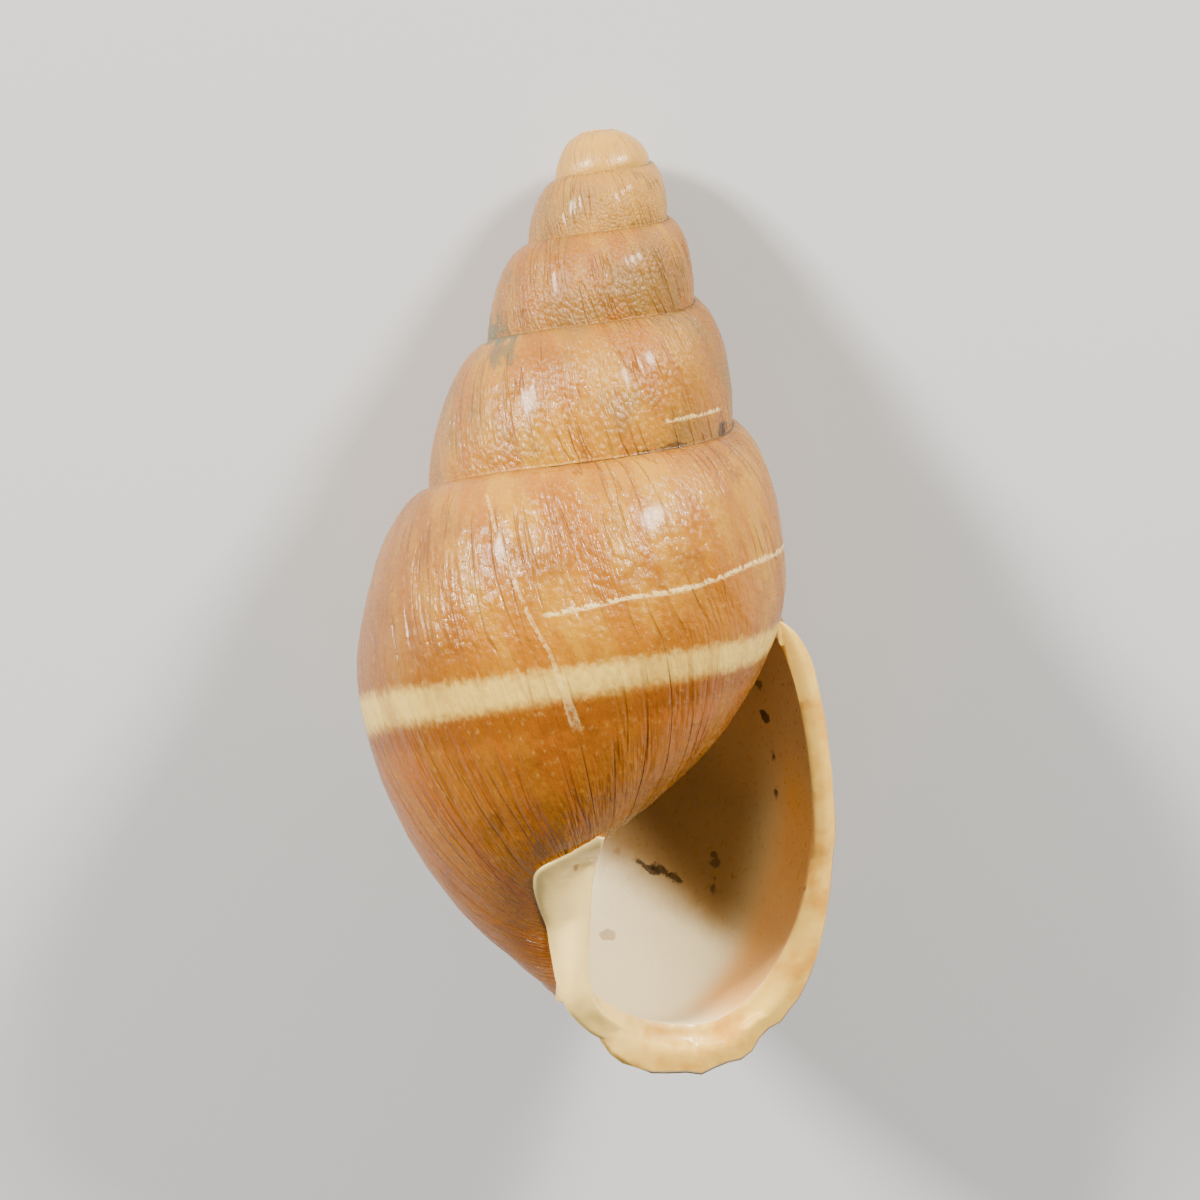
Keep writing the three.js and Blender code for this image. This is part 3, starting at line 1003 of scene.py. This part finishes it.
class Nodes:
    """A short way to build one node tree."""

    def __init__(self, tree: bpy.types.NodeTree) -> None:
        """Start on a tree, cleared of its nodes.

        Args:
            tree: The node tree.
        """
        self.tree = tree
        tree.nodes.clear()

    def add(self, kind: str, inputs: dict[Any, Any] | None = None, **settings: Any) -> bpy.types.Node:
        """Add a node.

        Args:
            kind: The node's type name.
            inputs: Values or output sockets for its inputs.
            settings: Properties of the node.

        Returns:
            The node.
        """
        node = self.tree.nodes.new(kind)
        for key, value in settings.items():
            setattr(node, key, value)
        for key, value in (inputs or {}).items():
            if isinstance(value, bpy.types.NodeSocket):
                self.tree.links.new(value, node.inputs[key])
            else:
                node.inputs[key].default_value = value
        return node

    def math(self, operation: str, a: Any, b: Any = 0.0, clamp: bool = False) -> bpy.types.NodeSocket:
        """Combine two numbers.

        Args:
            operation: What to do with them.
            a: First number.
            b: Second number.
            clamp: Whether the result is kept in 0..1.

        Returns:
            The result.
        """
        return self.add("ShaderNodeMath", {0: a, 1: b}, operation=operation, use_clamp=clamp).outputs[0]

    def times(self, a: Any, b: Any, clamp: bool = False) -> bpy.types.NodeSocket:
        """Multiply two numbers.

        Args:
            a: First number.
            b: Second number.
            clamp: Whether the result is kept in 0..1.

        Returns:
            The product.
        """
        return self.math("MULTIPLY", a, b, clamp)

    def plus(self, a: Any, b: Any) -> bpy.types.NodeSocket:
        """Add two numbers.

        Args:
            a: First number.
            b: Second number.

        Returns:
            The sum.
        """
        return self.math("ADD", a, b)

    def minus(self, a: Any, b: Any) -> bpy.types.NodeSocket:
        """Take one number from another.

        Args:
            a: The number taken from.
            b: The number taken away.

        Returns:
            The difference.
        """
        return self.math("SUBTRACT", a, b)

    def band(self, x: Any, low: float, high: float, soft: float) -> bpy.types.NodeSocket:
        """A mask that is 1 between low and high and falls off over soft.

        Args:
            x: The number.
            low: Where it starts.
            high: Where it ends.
            soft: Half the width of each edge.

        Returns:
            The mask.
        """
        rise = self.ramp(x, low - soft, low + soft)
        fall = self.ramp(x, high - soft, high + soft)
        return self.math("SUBTRACT", rise, fall, True)

    def ramp(self, x: Any, low: float, high: float,
             to: tuple[float, float] = (0.0, 1.0)) -> bpy.types.NodeSocket:
        """Map a number smoothly from a range to another.

        Args:
            x: The number.
            low: Start of its range.
            high: End of its range.
            to: Start and end of the new range.

        Returns:
            The mapped number.
        """
        inputs = {"Value": x, "From Min": low, "From Max": high, "To Min": to[0], "To Max": to[1]}
        return self.add("ShaderNodeMapRange", inputs, interpolation_type="SMOOTHSTEP").outputs[0]

    def mix(self, share: Any, a: Any, b: Any, blend: str = "MIX") -> bpy.types.NodeSocket:
        """Blend two colours.

        Args:
            share: How much of the second.
            a: First colour.
            b: Second colour.
            blend: How they are blended.

        Returns:
            The colour.
        """
        node = self.add("ShaderNodeMix", data_type="RGBA", blend_type=blend)
        for key, value in ((0, share), (6, a), (7, b)):
            if isinstance(value, bpy.types.NodeSocket):
                self.tree.links.new(value, node.inputs[key])
            else:
                node.inputs[key].default_value = value
        return node.outputs[2]

    def noise(self, vector: Any, scale: float, detail: float = 2.0,
              rough: float = 0.5) -> bpy.types.NodeSocket:
        """A noise value.

        Args:
            vector: Where to read it.
            scale: Cells per unit.
            detail: How many finer layers.
            rough: How strong those are.

        Returns:
            The value.
        """
        inputs = {"Vector": vector, "Scale": scale, "Detail": detail, "Roughness": rough}
        return self.add("ShaderNodeTexNoise", inputs, noise_dimensions="3D").outputs[0]

    def stretched(self, line: Any, share: Any, turns: float, shares: float,
                  seed: float) -> bpy.types.NodeSocket:
        """A texture vector that runs along the growth lines.

        Args:
            line: The growth line's turn.
            share: The profile share.
            turns: Noise cells per turn.
            shares: Noise cells per share.
            seed: Which noise.

        Returns:
            The vector.
        """
        return self.vector(self.times(line, turns), self.times(share, shares), seed)

    def surface(self, shader: bpy.types.Node) -> None:
        """Send a shader to the material's output.

        Args:
            shader: The shader node.
        """
        out = self.add("ShaderNodeOutputMaterial")
        self.tree.links.new(shader.outputs[0], out.inputs[0])

    def vector(self, x: Any, y: Any, z: Any = 0.0) -> bpy.types.NodeSocket:
        """A vector of three numbers.

        Args:
            x: First number.
            y: Second number.
            z: Third number.

        Returns:
            The vector.
        """
        return self.add("ShaderNodeCombineXYZ", {0: x, 1: y, 2: z}).outputs[0]


def linear(code: str) -> tuple[float, float, float, float]:
    """A hex colour as the linear colour that a shader takes.

    Args:
        code: Six hex digits.

    Returns:
        Red, green, blue and 1.
    """
    values = [int(code[i : i + 2], 16) / 255 for i in (0, 2, 4)]
    out = [v / 12.92 if v <= 0.04045 else ((v + 0.055) / 1.055) ** 2.4 for v in values]
    return (*out, 1.0)


def new_material(name: str) -> tuple[bpy.types.Material, Nodes]:
    """Start a material.

    Args:
        name: The material's name.

    Returns:
        The material and its builder.
    """
    material = bpy.data.materials.new(name)
    material.use_nodes = True
    return material, Nodes(material.node_tree)


def new_group(name: str, takes: tuple[str, ...], gives: dict[str, str]) -> tuple[bpy.types.NodeTree, Nodes]:
    """Start a shader node group.

    Args:
        name: The group's name.
        takes: Names of its number inputs.
        gives: Names of its outputs and their socket types.

    Returns:
        The group and its builder.
    """
    group = bpy.data.node_groups.new(name, "ShaderNodeTree")
    for label in takes:
        group.interface.new_socket(label, in_out="INPUT", socket_type="NodeSocketFloat")
    for label, kind in gives.items():
        group.interface.new_socket(label, in_out="OUTPUT", socket_type=kind)
    return group, Nodes(group)


def growth_lines_group() -> bpy.types.NodeTree:
    """Growth lines, wrinkles and fine cells of the skin, from turn and profile share.

    Returns:
        The group, with a height, streaks, grain and thin wrinkles as outputs.
    """
    names = ("Height", "Streak", "Grain", "Wrinkle", "Line")
    group, n = new_group("growth lines", ("Turn", "Share"), dict.fromkeys(names, "NodeSocketFloat"))
    taken = n.add("NodeGroupInput")
    turn, share = taken.outputs["Turn"], taken.outputs["Share"]
    slant = n.times(n.math("POWER", share, 1.32), 0.055)
    line = n.minus(turn, slant)
    fine = n.noise(n.stretched(line, share, 300, 5, 1), 1.0, 3.0, 0.6)
    wide = n.noise(n.stretched(line, share, 30, 1.4, 4), 1.0, 4.0, 0.6)
    grain = n.noise(n.stretched(line, share, 210, 38, 9), 1.0, 2.0, 0.6)
    creased = n.noise(n.stretched(line, share, 52, 0.9, 14), 1.0, 2.0, 0.45)
    off = n.math("ABSOLUTE", n.minus(creased, 0.5))
    patch = n.ramp(n.noise(n.stretched(line, share, 9, 2.4, 21), 1.0, 2.0, 0.5), 0.4, 0.6, (0.1, 1.0))
    wrinkle = n.times(n.ramp(off, 0.035, 0.0), patch)
    cells = n.add("ShaderNodeTexVoronoi", {"Vector": n.stretched(line, share, 170, 22, 2), "Scale": 1.0})
    dome = n.times(cells.outputs["Distance"], -0.55)
    height = n.plus(n.times(fine, 0.9), n.times(grain, 0.35))
    height = n.plus(height, dome)
    height = n.minus(height, n.times(wrinkle, 0.9))
    out = n.add("NodeGroupOutput")
    for label, socket in zip(names, (height, wide, grain, wrinkle, line), strict=True):
        n.tree.links.new(socket, out.inputs[label])
    return group


def mark_group() -> bpy.types.NodeTree:
    """A soft spot at one place of the growth, broken up by a noise value.

    Returns:
        The group: 1 at the centre, 0 outside the two radii.
    """
    takes = ("Turn", "Share", "Centre turn", "Centre share", "Turns wide", "Shares wide", "Noise")
    group, n = new_group("mark", takes, {"Mask": "NodeSocketFloat"})
    taken = n.add("NodeGroupInput").outputs
    x = n.math("DIVIDE", n.minus(taken["Turn"], taken["Centre turn"]), taken["Turns wide"])
    y = n.math("DIVIDE", n.minus(taken["Share"], taken["Centre share"]), taken["Shares wide"])
    far = n.math("SQRT", n.plus(n.times(x, x), n.times(y, y)))
    rough = n.plus(far, n.times(n.minus(taken["Noise"], 0.5), 3.2))
    out = n.add("NodeGroupOutput")
    n.tree.links.new(n.ramp(rough, 1.0, 0.55), out.inputs["Mask"])
    return group


@dataclass(frozen=True)
class Mark:
    """One spot of dirt or wear, in turns and profile shares."""

    turn: float
    share: float
    turns: float
    shares: float
    strength: float = 1.0


@dataclass(frozen=True)
class ShellFinish:
    """Looks of the shell, colours as hex."""

    name: str = "shell_glaze"
    golden: str = "A86602"
    tan: str = "BC8410"
    ochre: str = "8A5000"
    rust: str = "A65C06"
    dark: str = "784004"
    apex: str = "C4933C"
    grey: str = "826A34"
    cream: str = "EECA60"
    pale_line: str = "F3D48A"
    lip: str = "FFD262"
    lip_edge: str = "E8A83A"
    plate: str = "FFE290"
    inside: str = "EFDDAE"
    # Painted shade of the mouth's upper wall, standing for the body whorl's shadow.
    inside_painted_shade: str = "9A7A48"
    # The upper wall's tan: partly its own colour deeper in, partly painted shade.
    inside_brown_painted_shade: str = "D0A468"
    inside_warm: str = "F4A83E"
    callus: str = "C8843E"
    dirt: str = "33240F"
    crust: str = "59583A"
    bump: float = 1.0
    roughness: tuple[float, float] = (0.15, 0.42)
    crusts: tuple[Mark, ...] = (
        Mark(1.6, 0.08, 0.055, 0.14), Mark(1.62, 0.3, 0.03, 0.16, 0.8), Mark(2.535, 0.98, 0.05, 0.14),
    )
    stains: tuple[Mark, ...] = (
        Mark(1.93, 1.0, 0.02, 0.06), Mark(1.83, 1.04, 0.05, 0.03, 0.8), Mark(0.66, 1.5, 0.01, 0.04, 0.3),
        Mark(0.7, 1.62, 0.008, 0.05, 0.3),
    )
    inner_dirt: tuple[Mark, ...] = (
        Mark(0.15, 1.225, 0.02, 0.012), Mark(0.17, 1.235, 0.014, 0.01), Mark(0.108, 1.14, 0.007, 0.02, 0.8),
        Mark(0.104, 1.19, 0.005, 0.024, 0.8), Mark(0.08, 0.6, 0.006, 0.02), Mark(0.068, 0.71, 0.005, 0.02),
        Mark(0.062, 0.83, 0.004, 0.02), Mark(0.085, 0.5, 0.006, 0.02, 0.8),
    )

    def build(self, lines: bpy.types.NodeTree, mark: bpy.types.NodeTree) -> bpy.types.Material:
        """Make the material.

        Args:
            lines: The growth-line group.
            mark: The group for one spot.

        Returns:
            The material.
        """
        material, n = new_material(self.name)
        growth = n.add("ShaderNodeAttribute", attribute_name="growth", attribute_type="GEOMETRY")
        parts = n.add("ShaderNodeSeparateXYZ", {0: growth.outputs["Vector"]})
        turn, share, region = parts.outputs
        position = n.add("ShaderNodeTexCoord").outputs["Object"]
        group = n.add("ShaderNodeGroup", {"Turn": turn, "Share": share}, node_tree=lines)
        ragged = n.noise(position, 1500.0, 3.0, 0.6)
        outside = self.outside(n, turn, share, group, position)
        for spot in self.crusts:
            outside = self.spotted(n, mark, spot, (turn, share, ragged), outside, self.crust)
        for spot in self.stains:
            outside = self.spotted(n, mark, spot, (turn, share, ragged), outside, self.dirt)
        inside = self.inside_skin(n, turn, share, position)
        for spot in self.inner_dirt:
            inside = self.spotted(n, mark, spot, (turn, share, ragged), inside, self.dirt)
        pale = self.pale(n, share, region, position)
        is_inside = n.ramp(region, 0.45, 0.55)
        is_pale = n.ramp(region, 1.45, 1.55)
        colour = n.mix(is_inside, outside, inside)
        colour = n.mix(is_pale, colour, pale)
        is_outside = n.minus(1.0, is_inside)
        old = n.ramp(turn, 5.2, 3.6)
        fine = n.times(n.times(group.outputs["Height"], is_outside), old)
        soft = n.noise(position, 900.0, 3.0, 0.6)
        height = n.plus(fine, n.times(soft, 0.3))
        bump = n.add("ShaderNodeBump", {"Strength": self.bump, "Distance": 0.00009, "Height": height})
        rough = n.ramp(group.outputs["Grain"], 0.32, 0.68, self.roughness)
        rough = n.plus(rough, n.times(is_inside, 0.1))
        shader = n.add("ShaderNodeBsdfPrincipled", {
            "Base Color": colour,
            "Roughness": rough,
            "Normal": bump.outputs[0],
            "IOR": 1.45,
            "Coat Weight": 0.1,
            "Coat Roughness": 0.12,
            "Subsurface Weight": 0.03,
            "Subsurface Scale": 0.0005,
        })
        n.surface(shader)
        return material

    def spotted(self, n: Nodes, mark: bpy.types.NodeTree, spot: Mark, where: tuple[Any, Any, Any], under: Any,
                colour: str) -> bpy.types.NodeSocket:
        """Lay one spot over a colour.

        Args:
            n: The node builder.
            mark: The group for one spot.
            spot: The spot.
            where: Turn, share and noise sockets.
            under: The colour below.
            colour: The spot's colour, as hex.

        Returns:
            The colour with the spot on it.
        """
        inputs = {
            "Turn": where[0], "Share": where[1], "Noise": where[2],
            "Centre turn": spot.turn, "Centre share": spot.share,
            "Turns wide": spot.turns, "Shares wide": spot.shares,
        }
        mask = n.add("ShaderNodeGroup", inputs, node_tree=mark).outputs["Mask"]
        return n.mix(n.times(mask, 0.85 * spot.strength), under, linear(colour))

    def outside(self, n: Nodes, turn: Any, share: Any, group: bpy.types.Node,
                position: Any) -> bpy.types.NodeSocket:
        """Colour of the outer skin.

        Args:
            n: The node builder.
            turn: Turn socket.
            share: Profile share socket.
            group: The growth-line node.
            position: Position in the part.

        Returns:
            The colour.
        """
        streak, grain = group.outputs["Streak"], group.outputs["Grain"]
        wrinkle, line = group.outputs["Wrinkle"], group.outputs["Line"]
        mottled = n.noise(position, 260.0, 4.0, 0.62)
        cloudy = n.noise(position, 95.0, 3.0, 0.55)
        base = n.mix(n.ramp(streak, 0.38, 0.64), linear(self.golden), linear(self.tan))
        base = n.mix(n.times(n.ramp(cloudy, 0.42, 0.66), 0.55), base, linear(self.ochre))
        base = n.mix(n.times(n.ramp(mottled, 0.5, 0.7), 0.7), base, linear(self.ochre))
        side = n.times(n.ramp(turn, 0.64, 0.56), n.ramp(turn, 0.4, 0.5))
        base = n.mix(n.times(side, 0.6), base, linear(self.ochre))
        last = n.ramp(turn, 1.12, 0.98)
        brown = n.mix(n.ramp(streak, 0.38, 0.62), linear(self.rust), linear(self.golden))
        brown = n.mix(n.times(n.ramp(mottled, 0.5, 0.7), 0.5), brown, linear(self.dark))
        near_band = n.band(share, 1.18, 1.27, 0.03)
        brown = n.mix(n.times(near_band, 0.55), brown, linear(self.dark))
        brown = n.mix(n.times(n.ramp(share, 1.7, 1.95), 0.5), brown, linear(self.dark))
        low = n.times(n.ramp(share, 1.17, 1.22), last)
        colour = n.mix(n.times(low, 0.95), base, brown)
        colour = n.mix(n.ramp(turn, 3.2, 4.4), colour, linear(self.apex))
        mid = n.times(n.band(turn, 1.4, 4.3, 0.35), n.ramp(mottled, 0.44, 0.66))
        colour = n.mix(n.times(mid, 0.5), colour, linear(self.grey))
        dip = n.times(n.band(turn, 0.7, 0.88, 0.09), 0.02)
        wander = n.times(n.minus(grain, 0.5), 0.05)
        edge = n.plus(n.plus(share, dip), wander)
        band = n.times(n.band(edge, 1.115, 1.2, 0.022), last)
        band = n.times(band, n.ramp(streak, 0.26, 0.5, (0.55, 0.95)))
        colour = n.mix(band, colour, linear(self.cream))
        colour = n.mix(n.times(wrinkle, 0.32), colour, linear(self.dark))
        pale_grain = n.times(n.ramp(grain, 0.58, 0.74), 0.22)
        colour = n.mix(pale_grain, colour, linear(self.cream))
        colour = n.mix(self.scratches(n, turn, share, grain, line), colour, linear(self.pale_line))
        seam = n.plus(share, n.times(n.minus(mottled, 0.5), 0.12))
        suture = n.plus(n.ramp(seam, 0.055, 0.01), n.times(n.ramp(seam, 0.2, 0.0), 0.25))
        return n.mix(n.times(suture, 0.85, True), colour, linear(self.dirt))

    def scratches(self, n: Nodes, turn: Any, share: Any, grain: Any, line: Any) -> bpy.types.NodeSocket:
        """Mask of the thin pale lines: two along the whorls and one scar across the last.

        Args:
            n: The node builder.
            turn: Turn socket.
            share: Profile share socket.
            grain: Fine noise socket.
            line: Growth line socket.

        Returns:
            The mask.
        """
        broken = n.ramp(grain, 0.36, 0.56, (0.15, 0.95))
        fall = n.plus(n.ramp(turn, 0.72, 0.79, (0.88, 0.842)), n.ramp(turn, 0.81, 0.91, (0.0, -0.052)))
        jitter = n.times(n.minus(grain, 0.5), 0.045)
        off = n.math("ABSOLUTE", n.plus(n.minus(share, fall), jitter))
        first = n.times(n.ramp(off, 0.014, 0.005), n.band(turn, 0.72, 0.985, 0.004))
        off = n.math("ABSOLUTE", n.plus(n.minus(share, 0.865), jitter))
        second = n.times(n.ramp(off, 0.014, 0.006), n.band(turn, 1.83, 1.925, 0.004))
        across = n.minus(n.minus(turn, 0.625), n.times(share, 0.095))
        wide = n.ramp(share, 1.12, 1.24, (0.0016, 0.0042))
        wobble = n.times(n.minus(grain, 0.5), 0.004)
        off = n.math("ABSOLUTE", n.plus(across, wobble))
        third = n.times(n.math("LESS_THAN", off, wide), n.band(share, 0.3, 1.27, 0.02))
        third = n.times(third, n.math("LESS_THAN", turn, 1.0))
        both = n.math("MAXIMUM", n.math("MAXIMUM", first, second), n.times(third, 0.42))
        return n.times(both, broken)

    def inside_skin(self, n: Nodes, turn: Any, share: Any, position: Any) -> bpy.types.NodeSocket:
        """Colour of the hollow's wall, with painted shade over its upper part.

        Args:
            n: The node builder.
            turn: Turn socket.
            share: Profile share socket.
            position: Position in the part.

        Returns:
            The colour.
        """
        cloudy = n.noise(position, 180.0, 3.0, 0.6)
        shifted = n.plus(share, n.times(n.minus(cloudy, 0.5), 0.1))
        # Painted shadow: the upper wall is darkened where the body whorl's shadow falls, and its soft edge is
        # painted too.
        shade = n.times(n.ramp(shifted, 1.34, 1.22), n.ramp(turn, 0.03, 0.1))
        colour = n.mix(shade, linear(self.inside), linear(self.inside_painted_shade))
        # The upper wall's tan, partly its own colour deeper in and partly painted shade from the body whorl.
        high = n.times(n.ramp(shifted, 1.0, 0.6), 0.8)
        colour = n.mix(high, colour, linear(self.inside_brown_painted_shade))
        rim = n.times(n.band(turn, -0.2, 0.055, 0.02), n.band(share, 0.7, 1.55, 0.15))
        colour = n.mix(n.times(rim, 0.75), colour, linear(self.inside_warm))
        spots = n.noise(position, 620.0, 2.0, 0.5)
        colour = n.mix(n.times(n.ramp(spots, 0.7, 0.74), 0.5), colour, linear(self.dark))
        parietal = n.times(n.ramp(share, 2.5, 2.6), 0.85)
        return n.mix(parietal, colour, linear(self.callus))

    def pale(self, n: Nodes, share: Any, region: Any, position: Any) -> bpy.types.NodeSocket:
        """Colour of the lip and the columellar plate.

        Args:
            n: The node builder.
            share: Profile share socket.
            region: Region socket.
            position: Position in the part.

        Returns:
            The colour.
        """
        cloud = n.noise(position, 420.0, 3.0, 0.6)
        lip = n.mix(n.ramp(cloud, 0.42, 0.68), linear(self.lip), linear(self.lip_edge))
        lip = n.mix(n.times(n.ramp(share, 1.75, 1.95), 0.6), lip, linear(self.plate))
        low = n.times(n.ramp(share, 0.45, 1.0), 0.5)
        plate = n.mix(low, linear(self.plate), linear(self.lip))
        return n.mix(n.ramp(region, 2.45, 2.55), lip, plate)


@dataclass(frozen=True)
class PlainFinish:
    """A plain matte material."""

    name: str
    colour: str
    roughness: float = 0.7

    def build(self) -> bpy.types.Material:
        """Make the material.

        Returns:
            The material.
        """
        material, n = new_material(self.name)
        inputs = {"Base Color": linear(self.colour), "Roughness": self.roughness}
        shader = n.add("ShaderNodeBsdfPrincipled", inputs)
        n.surface(shader)
        return material


# ---------------------------------------------------------------------------------------------
# assembly
# ---------------------------------------------------------------------------------------------


@dataclass
class Pose:
    """How the growth frame lies in the part's frame, degrees."""

    roll: float = 1.869
    pitch: float = -17.91
    flat: float = 0.00014
    shift: Vector = field(default_factory=Vector)

    def matrix(self) -> Matrix:
        """Growth frame (x, y, depth) to the part's frame.

        Returns:
            The matrix.
        """
        lay = Matrix(((1, 0, 0, 0), (0, 0, -1, 0), (0, 1, 0, 0), (0, 0, 0, 1)))
        roll = Matrix.Rotation(math.radians(self.roll), 4, "Y")
        pitch = Matrix.Rotation(math.radians(self.pitch), 4, "X")
        return Matrix.Translation(self.shift) @ pitch @ roll @ lay

    def settle(self, low: Vector, high: Vector, mesh: bpy.types.Mesh) -> None:
        """Turn the mesh, level its belly, and shift it into the CAD box, down on the floor.

        Args:
            low: Lowest corner of the CAD box.
            high: Highest corner of the CAD box.
            mesh: The mesh, in the growth frame.
        """
        points = np.empty(len(mesh.vertices) * 3)
        mesh.vertices.foreach_get("co", points)
        matrix = np.array(self.matrix())[:3, :3]
        turned = points.reshape(-1, 3) @ matrix.T
        turned[:, 2] = np.maximum(turned[:, 2], turned[:, 2].min() + self.flat)
        lowest, highest = turned.min(axis=0), turned.max(axis=0)
        middle = (lowest + highest) / 2
        self.shift = Vector((
            (low[0] + high[0]) / 2 - middle[0],
            (low[1] + high[1]) / 2 - middle[1],
            low[2] - lowest[2],
        ))
        mesh.vertices.foreach_set("co", (turned + np.array(self.shift)).ravel())
        mesh.update()


@dataclass
class SnailShell:
    """The whole shell: skin, plate and hollow joined into one mesh."""

    growth: Growth = field(default_factory=Growth)
    lip: Lip = field(default_factory=Lip)
    relief: Relief = field(default_factory=Relief)

    def cut(self, body: bpy.types.Object, tool: bpy.types.Object, operation: str) -> None:
        """Join or cut the body with a tool, and remove the tool.

        Args:
            body: The object that stays.
            tool: The object used up.
            operation: UNION or DIFFERENCE.
        """
        modifier = body.modifiers.new(operation, "BOOLEAN")
        modifier.operation = operation
        modifier.solver = "MANIFOLD"
        modifier.object = tool
        bpy.context.view_layer.update()
        evaluated = body.evaluated_get(bpy.context.evaluated_depsgraph_get())
        mesh = bpy.data.meshes.new_from_object(evaluated)
        body.modifiers.clear()
        old = body.data
        body.data = mesh
        bpy.data.meshes.remove(old)
        bpy.data.objects.remove(tool)

    def build(self, material: bpy.types.Material) -> bpy.types.Object:
        """Make the shell's one object, in the growth frame.

        Args:
            material: Its material.

        Returns:
            The object.
        """
        body = OuterSkin(self.growth, self.lip, self.relief).build().build("snail_shell")
        plate = ColumellarPlate(self.growth).build().build("plate")
        hollow = Hollow(self.growth, self.lip).build().build("hollow")
        LOG.info("skin %d, plate %d, hollow %d faces", *(len(o.data.polygons) for o in (body, plate, hollow)))
        self.cut(body, plate, "UNION")
        self.cut(body, hollow, "DIFFERENCE")
        body.name = "snail_shell"
        body.data.name = "snail_shell"
        body.data.materials.clear()
        body.data.materials.append(material)
        body.data.shade_smooth()
        return body


@dataclass(frozen=True)
class Studio:
    """Floor, lights and camera, in metres."""

    tilt: float = 3.467
    lean: float = 2.51
    pivot: float = 0.0235
    distance: float = 0.28
    width: float = 0.06
    offset: tuple[float, float] = (-0.0006, 0.0001)
    floor_size: float = 2.4
    lamp_distance: float = 0.6
    lamp_colour: tuple[float, float, float] = (1.0, 0.93, 0.82)
    room_colour: tuple[float, float, float, float] = (1.0, 0.91, 0.78, 1.0)
    room_strength: float = 0.32

    def axes(self, pose: Pose) -> tuple[Vector, Vector, Vector, Vector]:
        """Right, up and back of the view and the point it turns about.

        Args:
            pose: How the shell lies.

        Returns:
            The three directions and the point.
        """
        a, g = math.radians(self.lean), math.radians(self.tilt)
        turn = pose.matrix().to_3x3()
        right = turn @ Vector((math.cos(a), -math.sin(a) * math.sin(g), -math.sin(a) * math.cos(g)))
        down = turn @ Vector((math.sin(a), math.cos(a) * math.sin(g), math.cos(a) * math.cos(g)))
        back = turn @ Vector((0, math.cos(g), -math.sin(g)))
        return right, -down, back, pose.matrix() @ Vector((0, 0, self.pivot))

    def camera(self, pose: Pose) -> None:
        """Look down on the shell at the angle that shows its mouth.

        Args:
            pose: How the shell lies.
        """
        right, up, back, pivot = self.axes(pose)
        aim = pivot - right * self.offset[0] - up * self.offset[1]
        data = bpy.data.cameras.new("camera")
        data.lens = SENSOR_WIDTH * self.distance / self.width
        data.clip_start = 0.01
        made = linked("camera", data)
        turn = Matrix((right, up, back)).transposed().to_4x4()
        made.matrix_world = Matrix.Translation(aim + back * self.distance) @ turn
        bpy.context.scene.camera = made

    def light(self, pose: Pose, name: str, side: float, rise: float, size: float, power: float) -> None:
        """Hang one soft light.

        Args:
            pose: How the shell lies.
            name: The light's name.
            side: Degrees from the view's axis, to the right.
            rise: Degrees towards the apex.
            size: Edge of the light.
            power: Watts.
        """
        right, up, back, pivot = self.axes(pose)
        a, e = math.radians(side), math.radians(rise)
        way = right * math.sin(a) * math.cos(e) + up * math.sin(e) + back * math.cos(a) * math.cos(e)
        data = bpy.data.lights.new(name, "AREA")
        data.size = size
        data.energy = power
        data.color = self.lamp_colour
        made = linked(name, data)
        made.location = pivot + way * self.lamp_distance
        made.rotation_euler = way.to_track_quat("Z", "Y").to_euler()

    def build(self, pose: Pose, floor_material: bpy.types.Material) -> None:
        """Add everything around the shell.

        Args:
            pose: How the shell lies.
            floor_material: The floor's material.
        """
        half = self.floor_size / 2
        mesh = bpy.data.meshes.new("floor")
        corners = [(-half, -half, 0), (half, -half, 0), (half, half, 0), (-half, half, 0)]
        mesh.from_pydata(corners, [], [(0, 1, 2, 3)])
        mesh.materials.append(floor_material)
        floor = linked("floor", mesh)
        world = bpy.data.worlds.new("soft room")
        world.use_nodes = True
        background = world.node_tree.nodes["Background"]
        background.inputs[0].default_value = self.room_colour
        background.inputs[1].default_value = self.room_strength
        bpy.context.scene.world = world
        self.light(pose, "left_softbox", -50, 24, 0.1, 8.2)
        self.light(pose, "right_softbox", 40, 30, 0.1, 7.4)
        self.camera(pose)


def main() -> None:
    """Build the shell, its finish and the studio in order."""
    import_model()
    glaze = ShellFinish().build(growth_lines_group(), mark_group())
    shell = SnailShell().build(glaze)
    pose = Pose()
    low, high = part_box("shell")
    pose.settle(Vector(low), Vector(high), shell.data)
    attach(shell, "root")
    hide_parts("shell")
    Studio().build(pose, PlainFinish("floor_paper", "D4DAE2").build())


if __name__ == "__main__":
    main()
